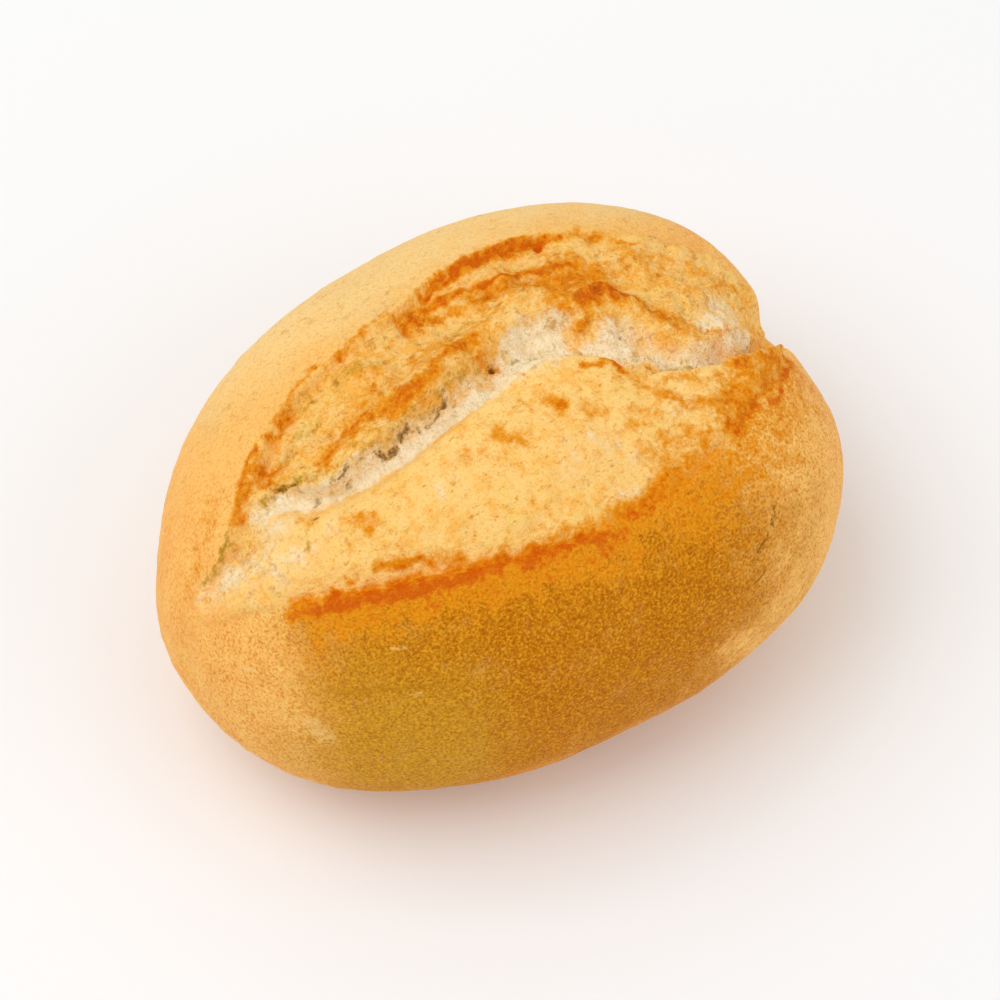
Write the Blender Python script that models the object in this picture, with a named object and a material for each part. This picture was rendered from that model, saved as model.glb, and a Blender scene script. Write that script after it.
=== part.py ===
"""A crusty oblong wheat bun, split open along its top, as one closed solid. Metres, +Z up.

The bun stands on its flat base with its length along X. The origin is the middle of the base of its
bounding box. The crust has torn open along the top: a near lip and a far lip bound the torn face, and a
fissure runs along it. Towards the +X end the near flap of the torn face stands above the fissure, which
notches the bun's shoulder there. A browned ridge of the far face stands over the fissure's floor.
"""

import bpy
import numpy as np
from mathutils import noise

# Size of the whole bun
LENGTH = 0.105
WIDTH = 0.081
HEIGHT = 0.061

# Form of the body: where it is widest, how full its sections are, and how much blunter the +X end is
WAIST_SHARE = 0.42
UNDERSIDE_SHARE = 1.12
PLAN_POWER = 2.3
SECTION_POWER = 2.4
BLUNT_WIDTH = 0.128
BLUNT_HEIGHT = -0.089
BASE_ROUNDING = 0.0012

# Swells and hollows of the body: the place, how far each reaches, its height
SWELLS = (
    ((0.0460, -0.0240, 0.0280), 0.0090, 0.0004), ((0.0475, -0.0085, 0.0395), 0.0085, -0.0020),
    ((0.0470, -0.0090, 0.0400), 0.0034, -0.0014), ((0.0492, -0.0050, 0.0378), 0.0036, -0.0022),
    ((0.0505, -0.0015, 0.0368), 0.0036, -0.0018), ((0.0517, 0.0004, 0.0310), 0.0042, -0.0028),
    ((0.0516, -0.0078, 0.0285), 0.0044, -0.0014), ((0.0518, 0.0015, 0.0255), 0.0038, -0.0013),
    ((0.0465, 0.0160, 0.0400), 0.0100, 0.0010), ((0.0270, 0.0330, 0.0440), 0.0080, -0.0004),
    ((0.0040, 0.0360, 0.0430), 0.0160, 0.0007), ((-0.0300, 0.0310, 0.0390), 0.0110, 0.0006),
    ((-0.0140, 0.0330, 0.0460), 0.0140, 0.0007), ((-0.0470, 0.0180, 0.0330), 0.0080, -0.0007),
    ((-0.0290, -0.0290, 0.0115), 0.0120, -0.0008), ((0.0226, -0.0377, 0.0156), 0.0090, -0.0007),
)

# Lines of the split, as places on the top of the body: distance along the bun, distance across it
NEAR_LIP = (
    (-0.0500, -0.0030), (-0.0470, -0.0065), (-0.0410, -0.0112), (-0.0330, -0.0170), (-0.0220, -0.0220),
    (-0.0110, -0.0260), (0.0010, -0.0280), (0.0110, -0.0282), (0.0200, -0.0265), (0.0300, -0.0225),
    (0.0390, -0.0170), (0.0450, -0.0125), (0.0480, -0.0105), (0.0500, -0.0083), (0.0512, -0.0063),
    (0.0520, -0.0042), (0.0524, -0.0026),
)
FISSURE = (
    (-0.0500, -0.0015), (-0.0450, -0.0035), (-0.0400, -0.0025), (-0.0350, 0.0008), (-0.0300, -0.0018),
    (-0.0250, -0.0038), (-0.0180, -0.0042), (-0.0080, -0.0030), (0.0000, -0.0018), (0.0060, -0.0006),
    (0.0110, -0.0020), (0.0140, -0.0038), (0.0176, -0.0060), (0.0182, -0.0081), (0.0205, -0.0099),
    (0.0260, -0.0118), (0.0310, -0.0126), (0.0390, -0.0118), (0.0450, -0.0098), (0.0480, -0.0082),
    (0.0500, -0.0064), (0.0512, -0.0046), (0.0520, -0.0028), (0.0524, -0.0018),
)
FAR_LIP = (
    (-0.0500, 0.0022), (-0.0475, 0.0013), (-0.0450, 0.0010), (-0.0420, 0.0022), (-0.0390, 0.0045),
    (-0.0340, 0.0078), (-0.0270, 0.0128), (-0.0170, 0.0155), (-0.0060, 0.0172), (0.0020, 0.0202),
    (0.0120, 0.0212), (0.0210, 0.0204), (0.0310, 0.0172), (0.0400, 0.0128), (0.0460, 0.0085),
    (0.0490, 0.0052), (0.0505, 0.0030), (0.0515, 0.0012), (0.0520, 0.0002), (0.0524, -0.0010),
)
# The browned ridge over the fissure, where the far face begins
RIDGE = (
    (-0.0480, 0.0000), (-0.0400, 0.0010), (-0.0345, 0.0050), (-0.0305, 0.0018), (-0.0270, -0.0008),
    (-0.0210, 0.0004), (-0.0160, 0.0014), (-0.0120, 0.0022), (-0.0070, 0.0034), (-0.0020, 0.0052),
    (0.0030, 0.0064), (0.0080, 0.0080), (0.0120, 0.0084), (0.0155, 0.0070), (0.0190, 0.0034),
    (0.0235, 0.0030), (0.0270, -0.0010), (0.0300, -0.0052), (0.0345, -0.0064), (0.0400, -0.0052),
    (0.0450, -0.0036), (0.0490, -0.0022), (0.0524, -0.0012),
)

# Relief of the split: distance along the bun, and the size there
FISSURE_DEPTH = ((-0.0400, 0.0004), (-0.0350, 0.0020), (-0.0320, 0.0030), (-0.0150, 0.0034), (0.0040, 0.0034),
                 (0.0120, 0.0038), (0.0190, 0.0034), (0.0300, 0.0036), (0.0430, 0.0036), (0.0500, 0.0040),
                 (0.0516, 0.0040), (0.0524, 0.0008))
NEAR_BANK = ((-0.0380, 0.0030), (-0.0320, 0.0050), (-0.0250, 0.0046), (-0.0120, 0.0036), (-0.0050, 0.0026),
             (0.0010, 0.0016), (0.0090, 0.0013), (0.0160, 0.0012), (0.0460, 0.0011))
FLOOR_SHARE = ((-0.0350, 0.20), (-0.0100, 0.25), (0.0050, 0.45), (0.0120, 0.60), (0.0200, 0.45), (0.0260, 0.60),
               (0.0340, 0.40), (0.0490, 0.20))
FLAP_RISE = ((-0.0470, 0.0000), (0.0000, 0.0002), (0.0100, 0.0006), (0.0176, 0.0005), (0.0194, 0.0004),
             (0.0300, 0.0010), (0.0390, 0.0013), (0.0460, 0.0012), (0.0500, 0.0008), (0.0524, 0.0002))
RIDGE_RISE = ((-0.0400, 0.0000), (-0.0320, 0.0008), (-0.0200, 0.0010), (-0.0080, 0.0016), (0.0100, 0.0010),
              (0.0210, 0.0020), (0.0300, 0.0010), (0.0400, 0.0002), (0.0490, 0.0000))
NEAR_LIP_RISE = ((-0.0420, 0.0000), (-0.0390, 0.0008), (-0.0320, 0.0013), (-0.0100, 0.0010), (0.0100, 0.0005),
                 (0.0260, 0.0002), (0.0390, 0.0006), (0.0460, 0.0012), (0.0500, 0.0004))
NEAR_LIP_DROP = ((-0.0420, 0.0000), (-0.0390, 0.0010), (-0.0350, 0.0015), (-0.0120, 0.0012), (0.0000, 0.0007),
                 (0.0150, 0.0003), (0.0320, 0.0002), (0.0420, 0.0007), (0.0480, 0.0008), (0.0510, 0.0003))
FAR_LIP_RISE = ((-0.0490, 0.0004), (-0.0400, 0.0009), (-0.0330, 0.0010), (-0.0150, 0.0009), (0.0120, 0.0010),
                (0.0280, 0.0002), (0.0380, -0.0010), (0.0450, -0.0012), (0.0500, 0.0000))
FAR_LIP_DROP = ((-0.0490, 0.0006), (-0.0400, 0.0013), (-0.0330, 0.0014), (-0.0240, 0.0008), (-0.0100, 0.0008),
                (0.0020, 0.0014), (0.0200, 0.0013), (0.0300, 0.0004), (0.0500, 0.0002))
FAR_FACE_SINK = ((-0.0470, 0.0004), (-0.0200, 0.0010), (0.0200, 0.0010), (0.0360, 0.0020), (0.0450, 0.0020),
                 (0.0500, 0.0006))
LIP_REACH = 0.0040
LIP_DROP_WIDTH = 0.0013
LIP_MARGIN = 0.0001
NEAR_BANK_POWER = 1.3
RIDGE_REACH = 0.0022
LEAST_RIDGE = 0.0015
CREST_SHARE = 1.25
NEAR_SLOPE_BULGE = 0.0012
FADE_WIDTH = 0.0080

# Where the split starts and is full at the -X end, and how steep a slant of its lines counts, and how far
LEFT_END = (-0.0495, -0.0440)
STEEPEST_SLANT = 1.5
SLANT_REACH = 0.0045

# Crags of the torn face on either side of the fissure, and the unevenness of the crust
NEAR_CRAG_HEIGHT = 0.0007
FAR_CRAG_HEIGHT = 0.0015
FAR_CRAG_START = (-0.0010, 0.0030)
CRAG_SIZE = 0.0085
NEAR_LUMP_HEIGHT = 0.00025
FAR_LUMP_HEIGHT = 0.00075
LUMP_SIZE = 0.0038
LUMP_SEED = 13.0
UNEVEN_HEIGHT = 0.0008
UNEVEN_SIZE = 0.0300
NOISE_DIMENSION = 0.9
NOISE_LACUNARITY = 2.1

# Grid of the mesh: rings along the bun, and steps round it in each stretch between the split's lines
RINGS = 78
STEPS_BELOW_NEAR_LIP = 20
STEPS_NEAR_SLOPE = 12
STEPS_FAR_FACE = 12
STEPS_BEHIND_FAR_LIP = 18
LEAST_GAP_SHARE = 0.02
SECTION_SAMPLES = 480
POLE_ANGLE = 0.004
LEAST_DISTANCE = 0.0001

CRUST_COLOUR = (0.62, 0.30, 0.07, 1.0)
CRUST_ROUGHNESS = 0.62


def smooth_line(points, at):
    """The value at each place of a smooth curve that never swings beyond the points it goes through."""
    place, value = np.array(points).T
    secant = np.diff(value) / np.diff(place)
    before, after = secant[:-1], secant[1:]
    both = before * after
    middle = np.where(both > 0, 2 * both / (before + after + (both <= 0)), 0)
    slope = np.concatenate([secant[:1], middle, secant[-1:]])
    k = np.clip(np.searchsorted(place, at) - 1, 0, len(place) - 2)
    step = place[k + 1] - place[k]
    t = np.clip((at - place[k]) / step, 0.0, 1.0)
    return (
        (2 * t**3 - 3 * t**2 + 1) * value[k]
        + (t**3 - 2 * t**2 + t) * step * slope[k]
        + (3 * t**2 - 2 * t**3) * value[k + 1]
        + (t**3 - t**2) * step * slope[k + 1]
    )


def ease(low, high, at):
    """0 below low, 1 above high, and a smooth rise between them."""
    t = np.clip((at - low) / (high - low), 0.0, 1.0)
    return t * t * (3 - 2 * t)


def bell(at, reach):
    return np.exp(-((at / reach) ** 2))


def signed_power(value, power):
    return np.sign(value) * np.abs(value) ** power


def flatten_base(z):
    """Heights with everything below the base brought up to it, over a small rounding."""
    rounded = (z + BASE_ROUNDING) ** 2 / (4 * BASE_ROUNDING)
    return np.where(z > BASE_ROUNDING, z, np.where(z < -BASE_ROUNDING, 0.0, rounded))


def half_width(c):
    """The body's half width and taper at each ring, where c runs from -1 at the -X end to 1."""
    taper = (1 - np.abs(c) ** PLAN_POWER) ** (1 / PLAN_POWER)
    return WIDTH / 2 * taper * (1 + BLUNT_WIDTH * c), taper


def body_point(c, turn):
    """A point of the plain body. The turn goes round a section from the base, up the near side and over."""
    width, taper = half_width(c)
    waist = HEIGHT * WAIST_SHARE
    up = -signed_power(np.cos(turn), 2 / SECTION_POWER)
    reach = np.where(up > 0, (HEIGHT - waist) * (1 + BLUNT_HEIGHT * c), waist * UNDERSIDE_SHARE)
    across = -width * signed_power(np.sin(turn), 2 / SECTION_POWER)
    return np.stack([LENGTH / 2 * c + 0 * turn, across, waist + reach * taper * up], axis=-1)


def turn_on_top(c, across):
    """The turn at which the top of the body lies that far across."""
    width, _ = half_width(c)
    share = np.clip(-across / width, -0.999, 0.999)
    return np.pi - np.arcsin(signed_power(share, SECTION_POWER / 2))


def body_grid(rings):
    """The plain body as rings of points, and how far round each point and each line of the split lies.

    Every ring has points on the split's three lines, except near the ends, where the lines meet and the
    points keep a least gap.
    """
    angle = np.linspace(0, np.pi, rings + 1)
    c = -np.cos(np.clip(angle, POLE_ANGLE, np.pi - POLE_ANGLE))
    turns = np.linspace(0, 2 * np.pi, SECTION_SAMPLES)
    section = body_point(c[:, None], turns[None, :])
    step = np.linalg.norm(np.diff(section, axis=1), axis=-1)
    run = np.concatenate([np.zeros((len(c), 1)), np.cumsum(step, axis=1)], axis=1)
    lines = []
    for line in (NEAR_LIP, FISSURE, FAR_LIP):
        at = turn_on_top(c, smooth_line(line, LENGTH / 2 * c))
        lines.append(np.array([np.interp(t, turns, row) for t, row in zip(at, run)]))
    near, middle, far = lines
    gap = LEAST_GAP_SHARE * run[:, -1]
    near = np.minimum(near, middle - gap)
    far = np.maximum(far, middle + gap)
    drop = np.minimum(LIP_DROP_WIDTH, gap / 3)
    knots = np.stack([0 * near, near, near + drop, middle, far - drop, far, run[:, -1]], axis=1)
    steps = (STEPS_BELOW_NEAR_LIP, 1, STEPS_NEAR_SLOPE, STEPS_FAR_FACE, 1, STEPS_BEHIND_FAR_LIP)
    columns = np.concatenate([[0], np.cumsum(steps)])
    place = np.array([np.interp(np.arange(columns[-1]), columns, row) for row in knots])
    turn = np.array([np.interp(p, row, turns) for p, row in zip(place, run)])
    return c, body_point(c[:, None], turn), place, lines


def normals_of(points):
    """Outward normals of a grid that closes round its second axis."""
    along = np.gradient(points, axis=0)
    round_it = np.roll(points, -1, axis=1) - np.roll(points, 1, axis=1)
    normal = np.cross(along, round_it)
    normal /= np.maximum(np.linalg.norm(normal, axis=-1, keepdims=True), 1e-12)
    normal[0] = (-1, 0, 0)
    normal[-1] = (1, 0, 0)
    return normal


def distances_from_split(c, place, lines):
    """How far each point lies past the near lip, past the fissure and short of the far lip, over the skin."""
    along = LENGTH / 2 * c
    found = []
    for line, start in zip((NEAR_LIP, FISSURE, FAR_LIP), lines):
        slant = np.clip(np.gradient(smooth_line(line, along), along), -STEEPEST_SLANT, STEEPEST_SLANT)
        away = place - start[:, None]
        found.append(away / np.sqrt(1 + (slant[:, None] * bell(away, SLANT_REACH)) ** 2))
    return found[0], found[1], -found[2]


def split_relief(x, past_near, past_fissure, short_of_far):
    """Height of the split's own forms above the plain body, and how torn each place is."""
    depth = smooth_line(FISSURE_DEPTH, x)
    near_bank = smooth_line(NEAR_BANK, x)
    ridge = np.maximum(smooth_line(RIDGE, x) - smooth_line(FISSURE, x), LEAST_RIDGE)
    floor = ridge * smooth_line(FLOOR_SHARE, x)
    flap = smooth_line(FLAP_RISE, x)

    inside = ease(-LIP_MARGIN, LIP_DROP_WIDTH, np.minimum(past_near, short_of_far))
    torn = ease(0.0, FADE_WIDTH, past_near + short_of_far) * inside
    near_share = np.clip(past_near / np.maximum(past_near - past_fissure, LEAST_DISTANCE), 0, 1)
    far_share = np.clip(past_fissure / np.maximum(past_fissure + short_of_far, LEAST_DISTANCE), 0, 1)

    near_slope = NEAR_SLOPE_BULGE * np.sin(np.pi * near_share) + flap * near_share**3
    near_slope -= smooth_line(NEAR_LIP_DROP, x) * (1 - near_share) ** 2
    near_cut = (depth + flap) * ease(-1.0, 0.0, past_fissure / near_bank) ** NEAR_BANK_POWER
    far_face = smooth_line(RIDGE_RISE, x) * bell(past_fissure - CREST_SHARE * ridge, RIDGE_REACH)
    far_face -= smooth_line(FAR_FACE_SINK, x) * np.sin(np.pi * far_share)
    far_face -= smooth_line(FAR_LIP_DROP, x) * far_share**2
    far_cut = depth * (1 - ease(floor, ridge, past_fissure))
    face = np.where(past_fissure <= 0, near_slope - near_cut, far_face - far_cut)

    near_rise = smooth_line(NEAR_LIP_RISE, x) * bell(past_near, LIP_REACH)
    far_rise = smooth_line(FAR_LIP_RISE, x) * bell(short_of_far, LIP_REACH)
    relief = (near_rise + far_rise) * (1 - inside) + face * torn
    return relief * ease(*LEFT_END, x), torn


def rough(points, size, octaves, seed=0.0):
    """Fractal noise from about -1 to 1 at each point, whose largest lumps have that size."""
    flat = points.reshape(-1, 3) / size + seed
    made = [noise.fractal(p, NOISE_DIMENSION, NOISE_LACUNARITY, octaves) for p in flat.tolist()]
    return np.array(made).reshape(points.shape[:-1])


def bun_points():
    """The bun's surface as a grid of points, filling its named size, with its base flat at z = 0."""
    c, points, place, lines = body_grid(RINGS)
    x = points[..., 0]
    past_near, past_fissure, short_of_far = distances_from_split(c, place, lines)
    relief, torn = split_relief(x, past_near, past_fissure, short_of_far)
    far = ease(*FAR_CRAG_START, past_fissure)
    crag_height = NEAR_CRAG_HEIGHT + far * (FAR_CRAG_HEIGHT - NEAR_CRAG_HEIGHT)
    lump_height = NEAR_LUMP_HEIGHT + far * (FAR_LUMP_HEIGHT - NEAR_LUMP_HEIGHT)
    relief += torn * crag_height * rough(points, CRAG_SIZE, 2)
    relief += torn * lump_height * rough(points, LUMP_SIZE, 1, LUMP_SEED)
    relief += UNEVEN_HEIGHT * rough(points, UNEVEN_SIZE, 1)
    for middle, reach, height in SWELLS:
        relief += height * bell(np.linalg.norm(points - middle, axis=-1), reach)
    points = points + normals_of(points) * relief[..., None]
    points[0] = points[0].mean(axis=0)
    points[-1] = points[-1].mean(axis=0)
    points[..., 2] = flatten_base(points[..., 2])
    low = points.min(axis=(0, 1))
    high = points.max(axis=(0, 1))
    points -= ((low[0] + high[0]) / 2, (low[1] + high[1]) / 2, low[2])
    return points * (LENGTH, WIDTH, HEIGHT) / (high - low)


def crust_material():
    material = bpy.data.materials.new("crust")
    material.use_nodes = True
    shader = material.node_tree.nodes["Principled BSDF"]
    shader.inputs["Base Color"].default_value = CRUST_COLOUR
    shader.inputs["Roughness"].default_value = CRUST_ROUGHNESS
    shader.inputs["Metallic"].default_value = 0.0
    return material


def make_bun(collection):
    """A sphere whose poles are the bun's two ends, with each of its points moved to the bun's surface."""
    points = bun_points()
    rings, round_it = points.shape[0] - 1, points.shape[1]
    bpy.ops.mesh.primitive_uv_sphere_add(segments=round_it, ring_count=rings, radius=1.0)
    bun = bpy.context.object
    bun.name = "bun"
    mesh = bun.data
    mesh.name = "bun"
    unit = np.empty(len(mesh.vertices) * 3)
    mesh.vertices.foreach_get("co", unit)
    unit = unit.reshape(-1, 3)
    ring = np.rint(np.arccos(np.clip(-unit[:, 2], -1, 1)) / np.pi * rings).astype(int)
    around = np.arctan2(unit[:, 1], unit[:, 0]) / (2 * np.pi) * round_it
    column = -np.rint(around).astype(int) % round_it
    mesh.vertices.foreach_set("co", points[ring, column].ravel())
    mesh.update()
    mesh.shade_smooth()
    mesh.materials.append(crust_material())
    for home in list(bun.users_collection):
        home.objects.unlink(bun)
    collection.objects.link(bun)


def main():
    for thing in list(bpy.data.objects):
        bpy.data.objects.remove(thing)
    collection = bpy.data.collections.new("wheat bun")
    bpy.context.scene.collection.children.link(collection)
    make_bun(collection)


main()
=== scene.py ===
"""Looks of a crusty wheat bun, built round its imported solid. Metres, +Z up, the bun's length along X."""

import bpy
import numpy as np
from bpy.props import FloatProperty, FloatVectorProperty, IntProperty, PointerProperty
from mathutils import Matrix, Vector, noise


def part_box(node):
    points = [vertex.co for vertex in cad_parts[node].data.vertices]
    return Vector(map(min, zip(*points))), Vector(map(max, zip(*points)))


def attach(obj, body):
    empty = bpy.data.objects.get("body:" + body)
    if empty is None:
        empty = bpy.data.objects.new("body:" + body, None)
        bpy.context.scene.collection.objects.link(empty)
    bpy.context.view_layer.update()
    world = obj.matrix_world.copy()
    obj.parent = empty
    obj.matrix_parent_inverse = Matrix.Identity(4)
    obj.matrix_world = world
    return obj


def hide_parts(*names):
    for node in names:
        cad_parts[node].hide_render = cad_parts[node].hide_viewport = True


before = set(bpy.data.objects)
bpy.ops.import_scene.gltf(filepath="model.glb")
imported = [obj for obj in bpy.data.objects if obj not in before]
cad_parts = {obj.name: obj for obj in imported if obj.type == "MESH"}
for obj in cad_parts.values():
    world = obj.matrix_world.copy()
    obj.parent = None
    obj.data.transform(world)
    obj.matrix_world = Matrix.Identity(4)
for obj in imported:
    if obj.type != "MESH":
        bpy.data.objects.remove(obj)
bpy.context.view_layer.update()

bl_info = {
    "name": "Wheat Bun",
    "version": (1, 0, 0),
    "blender": (4, 5, 0),
    "location": "3D View > Sidebar > Wheat Bun",
    "description": "Models a split, crusty wheat bun with its stage",
    "category": "Add Mesh",
}

BUN_LOW, BUN_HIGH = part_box("bun")
LENGTH, WIDTH, HEIGHT = BUN_HIGH - BUN_LOW
MM = 0.001

# Form of the body, as the solid has it
WAIST_SHARE = 0.42
UNDERSIDE_SHARE = 1.12
PLAN_POWER = 2.3
SECTION_POWER = 2.4
BLUNT_WIDTH = 0.128
BLUNT_HEIGHT = -0.089
BASE_ROUNDING = 0.0012
POLE_ANGLE = 0.004
WIDEST_SHARE = 0.999

# Swells and hollows of the body that its outline shows: the place, how far each reaches, its height
SWELLS = (
    ((0.0460, -0.0240, 0.0280), 0.0090, 0.0004), ((0.0475, -0.0085, 0.0395), 0.0085, -0.0020),
    ((0.0470, -0.0090, 0.0400), 0.0034, -0.0014), ((0.0492, -0.0050, 0.0378), 0.0036, -0.0022),
    ((0.0505, -0.0015, 0.0368), 0.0036, -0.0018), ((0.0517, 0.0004, 0.0310), 0.0042, -0.0028),
    ((0.0516, -0.0078, 0.0285), 0.0044, -0.0014), ((0.0518, 0.0015, 0.0255), 0.0038, -0.0013),
    ((0.0465, 0.0160, 0.0400), 0.0100, 0.0010), ((0.0270, 0.0330, 0.0440), 0.0080, -0.0004),
    ((0.0040, 0.0360, 0.0430), 0.0160, 0.0007), ((-0.0300, 0.0310, 0.0390), 0.0110, 0.0006),
    ((-0.0140, 0.0330, 0.0460), 0.0140, 0.0007), ((-0.0470, 0.0180, 0.0330), 0.0080, -0.0007),
    ((-0.0290, -0.0290, 0.0115), 0.0120, -0.0008), ((0.0226, -0.0377, 0.0156), 0.0090, -0.0007),
)

# Lines of the split, as places on the top of the body: distance along the bun, distance across it
NEAR_LIP = (
    (-0.0500, -0.0030), (-0.0470, -0.0065), (-0.0410, -0.0112), (-0.0330, -0.0170), (-0.0220, -0.0220),
    (-0.0110, -0.0260), (0.0010, -0.0280), (0.0110, -0.0282), (0.0200, -0.0265), (0.0300, -0.0225),
    (0.0390, -0.0170), (0.0450, -0.0125), (0.0480, -0.0105), (0.0500, -0.0083), (0.0512, -0.0063),
    (0.0520, -0.0042), (0.0524, -0.0026),
)
FISSURE = (
    (-0.0500, -0.0015), (-0.0450, -0.0035), (-0.0400, -0.0025), (-0.0350, 0.0008), (-0.0300, -0.0018),
    (-0.0250, -0.0038), (-0.0180, -0.0042), (-0.0080, -0.0030), (0.0000, -0.0018), (0.0060, -0.0006),
    (0.0110, -0.0020), (0.0140, -0.0038), (0.0176, -0.0060), (0.0182, -0.0081), (0.0205, -0.0099),
    (0.0260, -0.0118), (0.0310, -0.0126), (0.0390, -0.0118), (0.0450, -0.0098), (0.0480, -0.0082),
    (0.0500, -0.0064), (0.0512, -0.0046), (0.0520, -0.0028), (0.0524, -0.0018),
)
FAR_LIP = (
    (-0.0500, 0.0022), (-0.0475, 0.0013), (-0.0450, 0.0010), (-0.0420, 0.0022), (-0.0390, 0.0045),
    (-0.0340, 0.0078), (-0.0270, 0.0128), (-0.0170, 0.0155), (-0.0060, 0.0172), (0.0020, 0.0202),
    (0.0120, 0.0212), (0.0210, 0.0204), (0.0310, 0.0172), (0.0400, 0.0128), (0.0460, 0.0085),
    (0.0490, 0.0052), (0.0505, 0.0030), (0.0515, 0.0012), (0.0520, 0.0002), (0.0524, -0.0010),
)
# The browned ridge over the fissure, where the far face begins
RIDGE = (
    (-0.0480, 0.0000), (-0.0400, 0.0010), (-0.0345, 0.0050), (-0.0305, 0.0018), (-0.0270, -0.0008),
    (-0.0210, 0.0004), (-0.0160, 0.0014), (-0.0120, 0.0022), (-0.0070, 0.0034), (-0.0020, 0.0052),
    (0.0030, 0.0064), (0.0080, 0.0080), (0.0120, 0.0084), (0.0155, 0.0070), (0.0190, 0.0034),
    (0.0235, 0.0030), (0.0270, -0.0010), (0.0300, -0.0052), (0.0345, -0.0064), (0.0400, -0.0052),
    (0.0450, -0.0036), (0.0490, -0.0022), (0.0524, -0.0012),
)

# Relief of the split: distance along the bun, and the size there
FISSURE_DEPTH = (
    (-0.0400, 0.0004), (-0.0350, 0.0020), (-0.0320, 0.0030), (-0.0150, 0.0034), (0.0040, 0.0034),
    (0.0120, 0.0038), (0.0190, 0.0034), (0.0300, 0.0036), (0.0430, 0.0036), (0.0500, 0.0040),
    (0.0516, 0.0040), (0.0524, 0.0008),
)
NEAR_BANK = (
    (-0.0380, 0.0030), (-0.0320, 0.0050), (-0.0250, 0.0046), (-0.0120, 0.0036), (-0.0050, 0.0026),
    (0.0010, 0.0016), (0.0090, 0.0013), (0.0160, 0.0012), (0.0460, 0.0011),
)
FLOOR_SHARE = (
    (-0.0350, 0.20), (-0.0100, 0.25), (0.0050, 0.45), (0.0120, 0.60), (0.0200, 0.45), (0.0260, 0.60),
    (0.0340, 0.40), (0.0490, 0.20),
)
FLAP_RISE = (
    (-0.0470, 0.0000), (0.0000, 0.0002), (0.0100, 0.0006), (0.0176, 0.0005), (0.0194, 0.0004),
    (0.0300, 0.0010), (0.0390, 0.0013), (0.0460, 0.0012), (0.0500, 0.0008), (0.0524, 0.0002),
)
RIDGE_RISE = (
    (-0.0400, 0.0000), (-0.0320, 0.0008), (-0.0200, 0.0010), (-0.0080, 0.0016), (0.0100, 0.0010),
    (0.0210, 0.0020), (0.0300, 0.0010), (0.0400, 0.0002), (0.0490, 0.0000),
)
NEAR_LIP_RISE = (
    (-0.0420, 0.0000), (-0.0390, 0.0008), (-0.0320, 0.0013), (-0.0100, 0.0010), (0.0100, 0.0005),
    (0.0260, 0.0002), (0.0390, 0.0006), (0.0460, 0.0012), (0.0500, 0.0004),
)
NEAR_LIP_DROP = (
    (-0.0420, 0.0000), (-0.0390, 0.0010), (-0.0350, 0.0015), (-0.0120, 0.0012), (0.0000, 0.0007),
    (0.0150, 0.0003), (0.0320, 0.0002), (0.0420, 0.0007), (0.0480, 0.0008), (0.0510, 0.0003),
)
FAR_LIP_RISE = (
    (-0.0490, 0.0004), (-0.0400, 0.0009), (-0.0330, 0.0010), (-0.0150, 0.0009), (0.0120, 0.0010),
    (0.0280, 0.0002), (0.0380, -0.0010), (0.0450, -0.0012), (0.0500, 0.0000),
)
FAR_LIP_DROP = (
    (-0.0490, 0.0006), (-0.0400, 0.0013), (-0.0330, 0.0014), (-0.0240, 0.0008), (-0.0100, 0.0008),
    (0.0020, 0.0014), (0.0200, 0.0013), (0.0300, 0.0004), (0.0500, 0.0002),
)
FAR_FACE_SINK = (
    (-0.0470, 0.0004), (-0.0200, 0.0010), (0.0200, 0.0010), (0.0360, 0.0020), (0.0450, 0.0020),
    (0.0500, 0.0006),
)
LIP_REACH = 0.0040
LIP_DROP_WIDTH = 0.0009
RIDGE_REACH = 0.0022
NEAR_SLOPE_BULGE = 0.0012
NEAR_BANK_POWER = 1.3
FADE_WIDTH = 0.0080
STEEPEST_SLANT = 1.5
SLANT_REACH = 0.0045
LEAST_RIDGE = 1.5 * MM
LEAST_DISTANCE = 0.1 * MM

# Where the relief of the split starts from the left end, and where its edges start to be ragged
LEFT_END = (-0.0495, -0.0440)
RAGGED_FROM = (-0.048, -0.038)

# How far the flap and the browned ridge lean out over the fissure, how far that reaches, and the
# ridge's part of the split's length: its start, full height, where it starts to fade, and its end
FLAP_LEAN = 0.8 * MM
FLAP_LEAN_REACH = 1.2 * MM
FLAP_HIGHEST = 0.0012
RIDGE_LEAN = 1.0 * MM
RIDGE_LEAN_REACH = 1.6 * MM
RIDGE_LEAN_PART = (-0.036, -0.030, 0.022, 0.034)

# Sizes of the raggedness of the split's lines, and of the lumps of its torn ground
RAGGED_SIZE = 2.6 * MM
RAGGED_LARGE_SIZE = 7 * MM
FISSURE_WANDER_SIZE = 3.5 * MM
LUMP_SIZE = 3.8 * MM
FINE_LUMP_SIZE = 1.7 * MM

# Fibres of the crumb, in the fissure and at the left end: how drawn out they are, their width, a seed
FIBRES = (0.22, 0.9 * MM, 2.0)
STRANDS = (0.15, 1.1 * MM, 31.0)
FIBRE_HEIGHT = 0.35 * MM
STRAND_HEIGHT = 0.45 * MM
STRANDS_PART = (-0.028, -0.036)

# Burst bubbles: the size of the cells they lie in, a seed, the distances from a cell's middle between
# which one shelves up, and the values of a cell between which it comes to have one
PITS = (3.1 * MM, 0.0, (0.12, 0.42), (0.1, 0.5))
GULLY_HOLES = (1.8 * MM, 11.0, (0.15, 0.5), (0.0, 0.4))
CRUMB_BUBBLES = (1.5 * MM, 17.0, (0.1, 0.42), (0.3, 0.8))
GULLY_HOLE_DEPTH = 0.8 * MM
CRUMB_BUBBLE_DEPTH = 0.35 * MM
HOLLOW_DEPTH = 0.8 * MM

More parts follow.
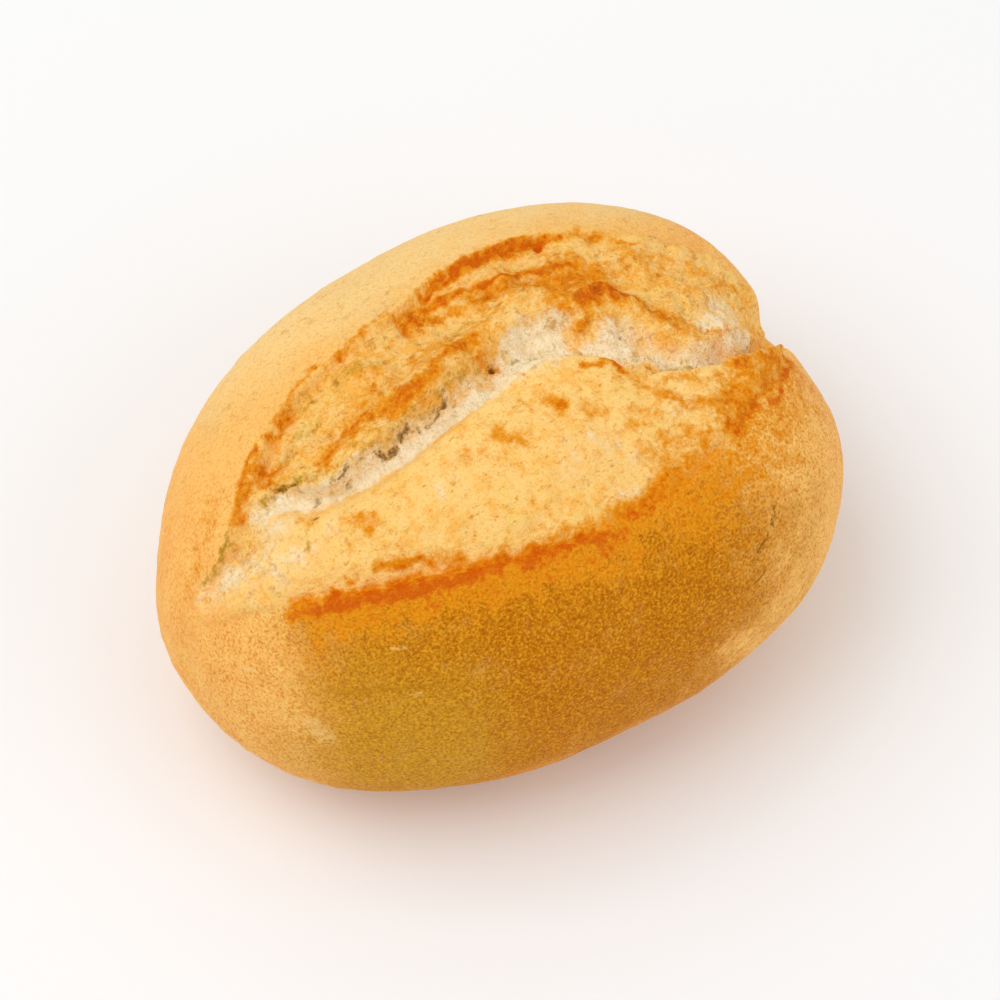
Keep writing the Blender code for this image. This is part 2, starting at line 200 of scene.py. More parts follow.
# The gully under the browned ridge: its depth and reach, the size of its breaks, and where it fades
GULLY_DEPTH = 0.4 * MM
GULLY_REACH = 1.4 * MM
GULLY_WANDER = 0.9 * MM
GULLY_BREAK_SIZE = 4.5 * MM
GULLY_LEFT_FADE = (-0.037, -0.033)
GULLY_RIGHT_FADE = (0.010, 0.000)

# The crust: the sizes of its unevenness, its roughness and its blisters, and the heights of the last two
UNEVEN_SIZE = 30 * MM
ROUGH_SIZE = 3.2 * MM
ROUGH_HEIGHT = 0.10 * MM
BLISTER_SIZE = 4.5 * MM
BLISTER_HEIGHT = 0.16 * MM

# Places past the fissure, as shares of the way from it to the ridge
GULLY_SHARE = 0.60
RIDGE_LEAN_SHARE = 1.05
CREST_SHARE = 1.25

# How wide the crust fades into the torn slope at the near lip and at the far lip, along the bun
NEAR_LIP_BLUR = (
    (-0.0480, 0.0040), (-0.0410, 0.0030), (-0.0370, 0.0006), (-0.0100, 0.0008), (0.0000, 0.0025),
    (0.0150, 0.0060), (0.0350, 0.0045), (0.0440, 0.0015),
)
FAR_LIP_BLUR = (
    (-0.0480, 0.0020), (-0.0380, 0.0008), (-0.0300, 0.0022), (-0.0050, 0.0022), (0.0020, 0.0008),
    (0.0200, 0.0008), (0.0320, 0.0030), (0.0500, 0.0020),
)

# Strokes of colour on the top of the bun, in millimetres: a radius, a strength, and then places
# along and across it
# Toasted places, and a line of painted shadow under the far lip's edge
TOAST_AND_SHADOW = (
    # The near lip
    (1.7, 1.00, (-40, -13), (-36, -15.8)),
    (1.8, 1.20, (-36, -15.8), (-30, -19.2), (-26, -21), (-22, -22.4), (-17, -24.2)),
    (3.4, 0.66, (-37, -17), (-30, -21), (-22, -24), (-13, -27), (-6, -29), (4, -31)),
    (1.8, 1.05, (-17, -24), (-9, -26.4), (-5, -27), (1, -28)), (3.0, 0.95, (6, -28), (9, -28)),
    (2.6, 0.92, (1, -29), (4, -29)), (3.4, 0.85, (12, -27.5), (16, -26.5)),
    (3.6, 0.60, (18, -25), (23, -25)),
    (6.0, 0.60, (14, -30), (27, -26), (33, -23), (38, -19), (43, -14)),
    # Blotches on the near slope
    (1.0, 0.80, (-28, -15.5), (-25.4, -17.4), (-22, -19.6)), (1.2, 0.60, (-20, -20), (-17, -22)),
    (0.7, 0.55, (-33, -15), (-31, -15)), (1.8, 0.55, (-27, -9), (-25.6, -11.6)),
    (0.8, 0.60, (-33, -3.4), (-33, -5)), (2.0, 0.70, (-6, -25.5), (-3, -26.5)),
    (1.6, 0.60, (-4, -9.8), (-2.6, -12.4)), (1.4, 0.85, (5.2, -8.6), (6.2, -10)),
    (1.0, 0.45, (1, -7), (2.5, -8)), (1.6, 0.45, (9, -12), (10.6, -13.6)),
    (1.2, 0.45, (-9, -10), (-7, -12)), (2.2, 0.40, (14, -17), (18, -17)),
    (3.0, 0.50, (14, -24), (17, -21), (22, -22)), (3.2, 0.88, (28, -22), (33, -19)),
    (1.3, 1.00, (30, -20.6), (31, -21)),
    # The flap's corner, its browned band, and the tip
    (0.9, 1.10, (17.0, -7.4), (17.5, -9.2)), (0.8, 0.75, (12.5, -6.0), (16.6, -7.2)),
    (1.6, 0.62, (16.6, -9), (19, -11.8), (20.5, -14.4), (22.6, -17.4), (27.1, -19.7), (30.4, -20.9)),
    (1.3, 0.50, (23, -13), (28, -15), (33, -15.6)),
    (1.4, 0.85, (33.6, -14.6), (36.8, -14), (41, -13.6)),
    (0.9, 1.05, (44, -11.9), (42.4, -14.8), (39.8, -17.5), (37.4, -19.2), (35.6, -20.4)),
    (1.8, 0.60, (37, -20), (33, -22.6)), (3.8, 0.78, (30, -19), (35, -17), (39, -15)),
    # The far lip: its toasted edge, and just below it a darker line of painted shadow under that edge
    (0.8, 1.05, (1, 19.4), (7, 20.5), (12, 20.9), (20, 19.9), (25, 18.7)),
    (0.6, 0.60, (26, 18.8), (31, 16.4), (35, 12)),
    # Painted shadow under the far lip's edge
    (0.9, 1.00, (-4, 16.7), (1, 18), (5, 17.2), (10, 16.9), (18, 15.6), (24, 12.5)),
    (0.6, 0.62, (-4, 17.4), (-7.4, 17.8), (-11.5, 16.4), (-15.3, 15.9), (-18.7, 15.8),
     (-23, 14.2), (-26, 12.6)),
    (1.0, 1.00, (-4, 17), (0, 16.4)), (0.9, 1.05, (-19.2, 15.6)), (0.8, 1.00, (-15.2, 15.8)),
    (0.8, 0.9, (-10, 16.4)), (0.5, 0.90, (-26, 12.6), (-29.8, 10.8)),
    (0.7, 0.95, (-31.7, 10.4), (-34.4, 8.3), (-37.6, 5.6), (-39.4, 3.2)),
    (1.3, 0.80, (-33.6, 7.6), (-32, 6.4)),
    (2.2, 0.36, (-41, 8.7), (-42.6, 6), (-45.6, 4.4), (-48, 3.4)),
    # The far face: its upper part, the lobe and the pocket's edge
    (4.2, 0.75, (10, 15), (18, 12), (24, 10)), (3.0, 0.65, (22, 14), (27, 10)),
    (3.2, 0.72, (17, 8), (25, 7)), (1.9, 1.10, (19.6, 5.4), (23.6, 6.4), (27.6, 3.8)),
    (2.0, 0.75, (28, 3), (30.4, -1.4), (32, -4)), (1.0, 0.8, (18.8, 3.6), (18.6, 1.8)),
    (2.6, 0.40, (32, 12), (38, 8)), (1.2, 0.90, (4, 15.3), (0, 16.2), (-3, 16.6)),
    (2.0, 0.40, (34, 8), (42, 6)), (1.0, 0.60, (44.6, 5), (46.4, 3.4)),
    (1.5, 0.45, (33, -6), (38, -6.5)), (1.3, 0.75, (2.4, 6.4), (4, 3)), (1.5, 0.50, (-6, 9), (-3, 10)),
    # The browned ridge over the fissure
    (1.5, 0.80, (-26, 2), (-23.4, 3.6), (-18, 3.8), (-12, 3.4), (-7, 4.8), (-2, 6.8), (2.6, 8)),
    (2.4, 0.40, (-22, 5), (-13, 5.6), (-5, 7), (0, 9)), (1.2, 0.90, (-13, 3.6), (-9, 4.6), (-5, 5.6)),
    (0.9, 0.60, (-34, 6), (-32.5, 5)), (1.6, 0.30, (-18, 7), (-12, 9)), (2.0, 0.40, (4, 10), (7, 9)),
)
# Dull greenish-brown patches, and painted shade under the browned ridge and in the left end's crease
OLIVE_AND_SHADE = (
    # Painted shade under the browned ridge
    (1.2, 0.65, (-33.8, 4.2), (-31.4, 3.4), (-29.6, 2.4)),
    (1.0, 0.42, (-29, 1.6), (-25, 0.2), (-22, 0)),
    (1.1, 0.48, (-22, 0), (-16, 0), (-10, 0.8), (-5, 1.9), (-1, 3.2)), (1.2, 0.30, (-1, 3.6), (4, 4.4)),
    (0.8, 0.40, (-22, 1.4), (-16, 1.6), (-11, 1.8)),
    # On the far face
    (1.2, 0.50, (-24, 12.4), (-22, 12.6)), (1.4, 0.55, (-32, 7.2), (-29, 7.8), (-25, 9)),
    (1.2, 0.45, (-27, 7), (-24, 9)), (1.2, 0.55, (-17, 12.6), (-10, 11.8)),
    (1.6, 0.45, (9, 12.5), (3, 11.4), (-1, 9.4)), (1.2, 0.35, (-21, 4), (-18, 5)),
    (1.1, 0.40, (14, 5), (17, 4.6)), (1.2, 0.35, (6, -1), (10, 1)), (1.0, 0.50, (26, -8), (30, -10)),
    # Strands of the left end, and painted shade in its crease
    (0.5, 0.75, (-33.6, 4.6), (-35.8, 3), (-36.8, 1.2)), (0.6, 0.50, (-36.6, 5), (-37.6, 3.4)),
    (0.6, 0.45, (-38.6, -1.4), (-39.6, -4)), (1.6, 0.40, (-42.2, -1), (-41.2, -3.6), (-40.2, -5.6)),
    (0.35, 0.95, (-41.2, 2.8), (-42.4, 2), (-44.4, 0.8), (-47, 1.0)),
    (0.6, 0.35, (-18.3, 24.3), (-13.8, 26.4)), (1.2, 0.35, (-38.7, -9.3)),
    (0.8, 0.50, (-33.6, -6), (-34, -7.6)),
)
# The larger hollows of the fissure's far bank, sunk into the relief and darkened with painted shade
HOLLOWS = (
    (0.6, 0.80, (-33, 3.8), (-31, 3.2)), (0.6, 0.90, (-30.4, -1.2)), (0.45, 0.80, (-31.6, -4.4)),
    (0.5, 0.75, (-25.2, -0.6), (-24, -0.8)), (0.45, 0.70, (-21.6, -1.2)),
    (0.55, 0.90, (-19.2, -1.4), (-18.2, -1.3)), (0.5, 0.80, (-16.6, -1.2)),
    (0.55, 0.90, (-15, -0.6), (-13.8, -0.2)), (0.5, 0.80, (-12, -0.6)), (0.5, 0.90, (-9.4, -0.4)),
    (0.5, 0.80, (-7.8, 0.4), (-6.2, 1.0)), (0.45, 0.80, (-5, 0.2)), (0.5, 0.75, (3.4, 3.2), (4.4, 3.4)),
    (0.6, 0.95, (6.6, 2.2), (7.2, 2.4)), (0.4, 0.70, (10, 3.4)), (0.5, 0.75, (22.5, -1.4)),
)
CREAM = (
    # The left end
    (3.2, 0.52, (-46, -0.6), (-43, -2.5), (-39, -3), (-36, -2)), (3.0, 0.42, (-41, -7), (-36, -8)),
    (2.0, 0.75, (-37, 1.6), (-34, 0.6)), (2.0, 0.35, (-33, -8), (-28, -7)),
    # The fissure
    (2.0, 1.10, (-34, 1.6), (-31, -0.4), (-28, -2), (-22, -2.8), (-16, -3), (-10, -2.4),
     (-5, -1.6), (0, -0.6)),
    (1.2, 0.60, (-27, -0.8), (-18, -1), (-10, 0), (-4, 1.4), (1, 2.6)), (2.2, 0.80, (-2, -2), (3, -1)),
    # The pockets by the flap
    (3.2, 1.05, (5, 1), (10, 5), (14, 4), (13, 0), (8, 0)),
    (2.6, 0.85, (17, -2), (22, -3), (26, -6), (30, -9), (36, -9.5)), (2.0, 0.80, (20, -1), (24, -1)),
    (2.6, 0.65, (36, -4), (43, -3)), (2.6, 0.55, (40, 0), (44, -0.5)),
    (2.4, 0.90, (38, -7.5), (42, -7), (46, -5)),
    # Pale places on the near slope
    (4.5, 0.32, (2, -18), (10, -19)), (3.0, 0.25, (-15, -12), (-8, -12)),
    (2.4, 0.36, (20, -17), (23, -17)), (1.8, 0.45, (5.7, -24.4), (9.2, -25.4)),
)

# How far the edges of the strokes wander, in millimetres, and the size of that wandering. They fade out
# between the two shares of the height
STROKE_WANDER = 0.9
STROKE_WANDER_SIZE = 3.0 * MM
TOP_SHARES = (0.50, 0.60)

# Marks on the near side, in millimetres: a radius, a strength, and places along the bun and up
SCRATCHES = (
    (0.7, 0.55, (-39.0, 41.0), (-33.0, 41.7), (-25.4, 41.6)),
)
SCARS = (
    (0.35, 0.55, (-47.6, 39.0), (-46.0, 40.1)), (0.30, 0.45, (-30.2, 47.2), (-28.4, 47.3)),
    (0.35, 0.60, (-30.2, 40.4), (-28.7, 40.6)), (1.9, 0.42, (-42.2, 34.2), (-41.4, 32.0)),
)
# Cracks, drawn as dark lines: painted shade in the cracks
CRACKS = (
    (0.40, 0.85, (28.4, 43.9), (28.0, 43.1), (27.4, 42.6), (27.2, 42.1)),
    (0.34, 0.85, (26.0, 42.0), (24.2, 41.2), (23.2, 41.2)), (0.30, 0.70, (22.8, 40.9), (22.0, 40.4)),
    (0.32, 0.75, (23.4, 37.8), (22.4, 37.3), (21.4, 37.2)),
)

# How far their edges wander and the size of that wandering, how far in they reach full strength as a
# share of the radius, and between which places across the bun the near side begins
MARK_WANDER = 1.2 * MM
MARK_WANDER_SIZE = 1.6 * MM
MARK_SOFT_EDGE = 0.3
NEAR_SIDE = (-8 * MM, -10 * MM)

# Where the crust is baked, as the places between which it changes: across the bun, towards its two ends,
# low down all round as a share of the height, and low down towards the right
BAKED_ACROSS = (0.002, -0.026)
PALE_RIGHT = (0.006, 0.037)
PALE_LEFT = (-0.034, -0.050)
PALE_LOW = (0.30, 0.10)
PALE_LOW_RIGHT = (0.76, 0.42)
PALE_LOW_RIGHT_ALONG = (-0.020, 0.016)

# Where it is rosy: towards the ends, as a share of half the length, and low down
ROSY_ENDS = (0.60, 0.95)
ROSY_LOW = (0.36, 0.16)

# Where it is palest: across the bun, along it and up it
FAIR_ACROSS = (0.008, 0.034)
FAIR_ALONG = (-0.052, -0.016)
FAIR_UP = (0.25, 0.80)

# Where it is grainy, across the bun
GRAINY_ACROSS = (0.016, -0.012)

# Where the front crust is more golden than brown
GOLDEN_PLACE = (-0.0360, -0.0300, 0.0300)
GOLDEN_REACH = 0.0200

# Grid of the mesh: rings along the bun, and steps round it in each stretch between the split's lines
RINGS = 316
STEPS_BELOW_NEAR_LIP = 92
STEPS_OF_LIP_DROP = 3
STEPS_NEAR_SLOPE = 64
STEPS_FAR_FACE = 66
STEPS_BEHIND_FAR_LIP = 76
LEAST_GAP_SHARE = 0.02
SECTION_SAMPLES = 900
EDGE_GATHERING = 1.25

# Fractal noise: how fast its finer octaves fade, and how much finer each is
NOISE_DIMENSION = 0.9
NOISE_LACUNARITY = 2.1

# What spreads the centres of cells before each gets its value, and the least that anything is divided by
CELL_VALUE_SPREAD = 7.31
TINY = 1e-12

# The camera, fitted to the photographed outline of the bun in a frame of 1000 by 1000 pixels
CAMERA_TURN = 30.04
CAMERA_HEIGHT_ANGLE = 57.0
CAMERA_ROLL = 3.25
CAMERA_DISTANCE = 0.620
FRAME_PIXELS = 1000
FOCAL_PIXELS = 4222.6
AIM_PIXEL = (487.6, 487.4)
SENSOR = 36.0

# The stage: its floor, its even light, and its lamps with their place, size and power
FLOOR_SIZE = 6.0
FLOOR_CLOUD_SIZE = 120 * MM
WORLD_STRENGTH = 0.74
LAMPS = (
    ("key", (-0.40, 0.20, 0.90), 0.8, 3.6),
    ("front", (0.45, -0.80, 0.60), 0.9, 1.6),
)


class BunSizes(bpy.types.PropertyGroup):
    """Sizes of the bun's relief."""

    crag_height: FloatProperty(
        name="Crag height", description="Height of the crags on the torn far face",
        default=1.5 * MM, min=0.0, unit="LENGTH")
    crag_size: FloatProperty(
        name="Crag size", description="Width of the largest crags",
        default=8.5 * MM, min=1.0 * MM, unit="LENGTH")
    slope_roughness: FloatProperty(
        name="Slope roughness", description="Height of the roughness on the torn near slope",
        default=0.7 * MM, min=0.0, unit="LENGTH")
    unevenness: FloatProperty(
        name="Unevenness", description="Height of the crust's slow unevenness",
        default=0.8 * MM, min=0.0, unit="LENGTH")
    pit_depth: FloatProperty(
        name="Pit depth", description="Depth of the burst bubbles in the torn face",
        default=0.9 * MM, min=0.0, unit="LENGTH")
    rings: IntProperty(
        name="Rings", description="Rings of points along the bun", default=RINGS, min=40, max=340)


def colour_property(name, description, default):
    """A colour that the panel shows."""
    return FloatVectorProperty(
        name=name, description=description, default=default, subtype="COLOR", size=3, min=0.0, max=1.0)


class BunColours(bpy.types.PropertyGroup):
    """Colours of the bun and of its stage."""

    pale_crust: colour_property("Pale crust", "Lightly baked crust", (0.97, 0.53, 0.14))
    deep_crust: colour_property("Deep crust", "Well baked crust", (0.54, 0.185, 0.001))
    golden_crust: colour_property("Golden crust", "Crust that baked golden", (0.60, 0.32, 0.02))
    rosy_crust: colour_property("Rosy crust", "Crust towards the ends and the base", (0.93, 0.41, 0.09))
    fair_crust: colour_property("Fair crust", "The palest crust, at the far shoulder", (0.97, 0.70, 0.30))
    grain_crust: colour_property("Crust grain", "Light grains in the crust", (0.98, 0.66, 0.16))
    grain_deep: colour_property("Deep crust grain", "Light grains in well baked crust", (0.92, 0.43, 0.020))
    # Dark grains, and painted shade inside small burst bubbles
    dark_grain_and_shade: colour_property("Dark grain", "Dark grains, as a tint", (0.74, 0.47, 0.15))
    # Browned places, and the painted shadow line under the far lip's edge, which takes both these colours
    toast_and_shadow: colour_property("Toast", "Well browned places", (0.80, 0.28, 0.005))
    singe_and_shadow: colour_property("Singe", "The most browned places", (0.64, 0.115, 0.001))
    slope: colour_property("Torn slope", "The torn near slope", (0.98, 0.63, 0.21))
    blush: colour_property("Blush", "Browner patches on the torn slope", (0.96, 0.50, 0.11))
    face: colour_property("Torn face", "The torn far face", (0.92, 0.46, 0.08))
    face_pale: colour_property("Pale torn face", "Paler patches of the torn far face", (0.94, 0.58, 0.19))
    # Yellow patches, and painted highlight on the rims of small burst bubbles
    straw_and_highlight: colour_property("Straw", "Yellow patches of the torn slope and face", (0.93, 0.62, 0.17))
    crumb: colour_property("Crumb", "Bare crumb in the fissure", (0.97, 0.84, 0.60))
    crumb_shade: colour_property("Crumb shade", "Darker strands of the bare crumb", (0.86, 0.71, 0.42))
    # Dull greenish-brown patches and locks of crumb, and painted shade under the ridge and in the left
    # end's crease
    olive_and_shade: colour_property("Olive", "Hollows of the torn face", (0.50, 0.28, 0.02))
    # Painted shade inside burst bubbles, the gully under the ridge and the larger hollows
    shaded_pit: colour_property("Pit", "Inside of burst bubbles", (0.24, 0.095, 0.002))
    scratch: colour_property("Scratch", "Thin dark scratches of the near side", (0.46, 0.19, 0.004))
    # Painted shade in the cracks of the near side
    crack_shade: colour_property("Crack", "Cracks of the near side", (0.24, 0.095, 0.006))
    scar: colour_property("Scar", "Pale scars of the near side", (0.95, 0.62, 0.24))
    floor: colour_property("Floor", "The plain pale floor", (0.92, 0.92, 0.92))


def smooth_line(points, at):
    """The value at each place of a smooth curve that never swings beyond the points it goes through."""
    place, value = np.array(points).T
    secant = np.diff(value) / np.diff(place)
    before, after = secant[:-1], secant[1:]
    both = before * after
    inner = np.where(both > 0, 2 * both / (before + after + (both <= 0)), 0)
    slope = np.concatenate([secant[:1], inner, secant[-1:]])
    k = np.clip(np.searchsorted(place, at) - 1, 0, len(place) - 2)
    step = place[k + 1] - place[k]
    t = np.clip((at - place[k]) / step, 0.0, 1.0)
    return (
        (2 * t**3 - 3 * t**2 + 1) * value[k]
        + (t**3 - 2 * t**2 + t) * step * slope[k]
        + (3 * t**2 - 2 * t**3) * value[k + 1]
        + (t**3 - t**2) * step * slope[k + 1]
    )


def ease(low, high, at):
    """0 at low, 1 at high, and smooth between them. Low may be the greater of the two."""
    t = np.clip((at - low) / (high - low), 0.0, 1.0)
    return t * t * (3 - 2 * t)


def bell(at, reach):
    """1 at 0, falling smoothly towards 0 beyond the reach."""
    return np.exp(-((at / reach) ** 2))


def signed_power(value, power):
    """The value's size raised to the power, with its sign kept."""
    return np.sign(value) * np.abs(value) ** power


def flatten_base(z):
    """Heights with everything below the base brought up to it, over a small rounding."""
    rounded = (z + BASE_ROUNDING) ** 2 / (4 * BASE_ROUNDING)
    return np.where(z > BASE_ROUNDING, z, np.where(z < -BASE_ROUNDING, 0.0, rounded))


def rough(points, size, octaves=1, seed=0.0):
    """Fractal noise from about -1 to 1 at each point. The size may differ along the three axes."""
    flat = (points / size).reshape(-1, 3) + seed
    made = [noise.fractal(p, NOISE_DIMENSION, NOISE_LACUNARITY, octaves) for p in flat.tolist()]
    return np.array(made).reshape(points.shape[:-1])


def cells(points, size, seed=0.0):
    """Distance to the nearest of scattered cell centres, in cell sizes, and that cell's own value."""
    flat = (points / size).reshape(-1, 3) + seed
    near, value = np.empty(len(flat)), np.empty(len(flat))
    for i, p in enumerate(flat.tolist()):
        distances, centres = noise.voronoi(p)
        near[i] = distances[0]
        value[i] = noise.cell(centres[0] * CELL_VALUE_SPREAD)
    return near.reshape(points.shape[:-1]), value.reshape(points.shape[:-1])


def nearness(x, y, strokes):
    """How near each place is to the strokes, up to their strength at the middle of one."""
    found = np.zeros_like(x)
    for radius, strength, *points in strokes:
        for (ax, ay), (bx, by) in zip(points, points[1:] or points):
            run = max((bx - ax) ** 2 + (by - ay) ** 2, TINY)
            share = np.clip(((x - ax) * (bx - ax) + (y - ay) * (by - ay)) / run, 0, 1)
            away = np.hypot(x - ax - share * (bx - ax), y - ay - share * (by - ay))
            found = np.maximum(found, strength * bell(away, radius))
    return found


def half_width(c):
    """The body's half width and taper at each ring, where c runs from -1 at the -X end to 1."""
    taper = (1 - np.abs(c) ** PLAN_POWER) ** (1 / PLAN_POWER)
    return WIDTH / 2 * taper * (1 + BLUNT_WIDTH * c), taper


def body_point(c, turn):
    """A point of the plain body. The turn goes from the base, up the near side and over."""
    width, taper = half_width(c)
    waist = HEIGHT * WAIST_SHARE
    up = -signed_power(np.cos(turn), 2 / SECTION_POWER)
    reach = np.where(up > 0, (HEIGHT - waist) * (1 + BLUNT_HEIGHT * c), waist * UNDERSIDE_SHARE)
    across = -width * signed_power(np.sin(turn), 2 / SECTION_POWER)
    return np.stack([LENGTH / 2 * c + 0 * turn, across, waist + reach * taper * up], axis=-1)


def turn_on_top(c, across):
    """The turn at which the top of the body lies that far across."""
    width, _ = half_width(c)
    share = np.clip(-across / width, -WIDEST_SHARE, WIDEST_SHARE)
    return np.pi - np.arcsin(signed_power(share, SECTION_POWER / 2))


class Skin:
    """The plain body as a grid of points, with each point's distances from the lines of the split."""

    def __init__(self, rings, share=1.0):
        angle = np.linspace(0, np.pi, rings + 1)
        c = -np.cos(np.clip(angle, POLE_ANGLE, np.pi - POLE_ANGLE))
        turns = np.linspace(0, 2 * np.pi, SECTION_SAMPLES)
        section = body_point(c[:, None], turns[None, :])
        step = np.linalg.norm(np.diff(section, axis=1), axis=-1)
        run = np.concatenate([np.zeros((len(c), 1)), np.cumsum(step, axis=1)], axis=1)
        lines = []
        for line in (NEAR_LIP, FISSURE, FAR_LIP):
            at = turn_on_top(c, smooth_line(line, LENGTH / 2 * c))
            lines.append(np.array([np.interp(t, turns, row) for t, row in zip(at, run)]))
        place = self.columns(lines, run[:, -1], share)
        turn = np.array([np.interp(p, row, turns) for p, row in zip(place, run)])
        self.points = body_point(c[:, None], turn)
        self.x = self.points[..., 0]
        self.past_near, self.past_fissure, self.past_far = self.distances(c, place, lines)
        self.normals, self.sideways = self.directions()

    def columns(self, lines, around, share):
        """Places round each ring: denser towards the lips, and least apart where the lines meet."""
        near, middle, far = lines
        gap = LEAST_GAP_SHARE * around
        near = np.minimum(near, middle - gap)
        far = np.maximum(far, middle + gap)
        drop = np.minimum(LIP_DROP_WIDTH, gap / 3)
        knots = np.stack([0 * near, near, near + drop, middle, far - drop, far, around], axis=1)
        steps = (STEPS_BELOW_NEAR_LIP, STEPS_OF_LIP_DROP, STEPS_NEAR_SLOPE, STEPS_FAR_FACE,
                 STEPS_OF_LIP_DROP, STEPS_BEHIND_FAR_LIP)
        steps = [max(2, round(n * share)) for n in steps]
        rising = 1 - (1 - np.arange(steps[0]) / steps[0]) ** EDGE_GATHERING
        falling = (np.arange(steps[-1]) / steps[-1]) ** EDGE_GATHERING
        even = [np.arange(n) / n for n in steps[1:-1]]
        column = np.concatenate([k + part for k, part in enumerate([rising, *even, falling])])
        return np.array([np.interp(column, np.arange(len(row)), row) for row in knots])

    def distances(self, c, place, lines):
        """Signed distances over the skin past the near lip, past the fissure and past the far lip."""
        along = LENGTH / 2 * c
        found = []
        for line, start in zip((NEAR_LIP, FISSURE, FAR_LIP), lines):
            slant = np.clip(np.gradient(smooth_line(line, along), along), -STEEPEST_SLANT, STEEPEST_SLANT)
            away = place - start[:, None]
            found.append(away / np.sqrt(1 + (slant[:, None] * bell(away, SLANT_REACH)) ** 2))
        return found

    def directions(self):
        """Outward normals, and the directions that run over the skin towards the far side."""
        along = np.gradient(self.points, axis=0)
        around = np.roll(self.points, -1, axis=1) - np.roll(self.points, 1, axis=1)
        normal = np.cross(along, around)
        normal /= np.maximum(np.linalg.norm(normal, axis=-1, keepdims=True), TINY)
        normal[0] = (-1, 0, 0)
        normal[-1] = (1, 0, 0)
        sideways = around / np.maximum(np.linalg.norm(around, axis=-1, keepdims=True), TINY)
        return normal, sideways


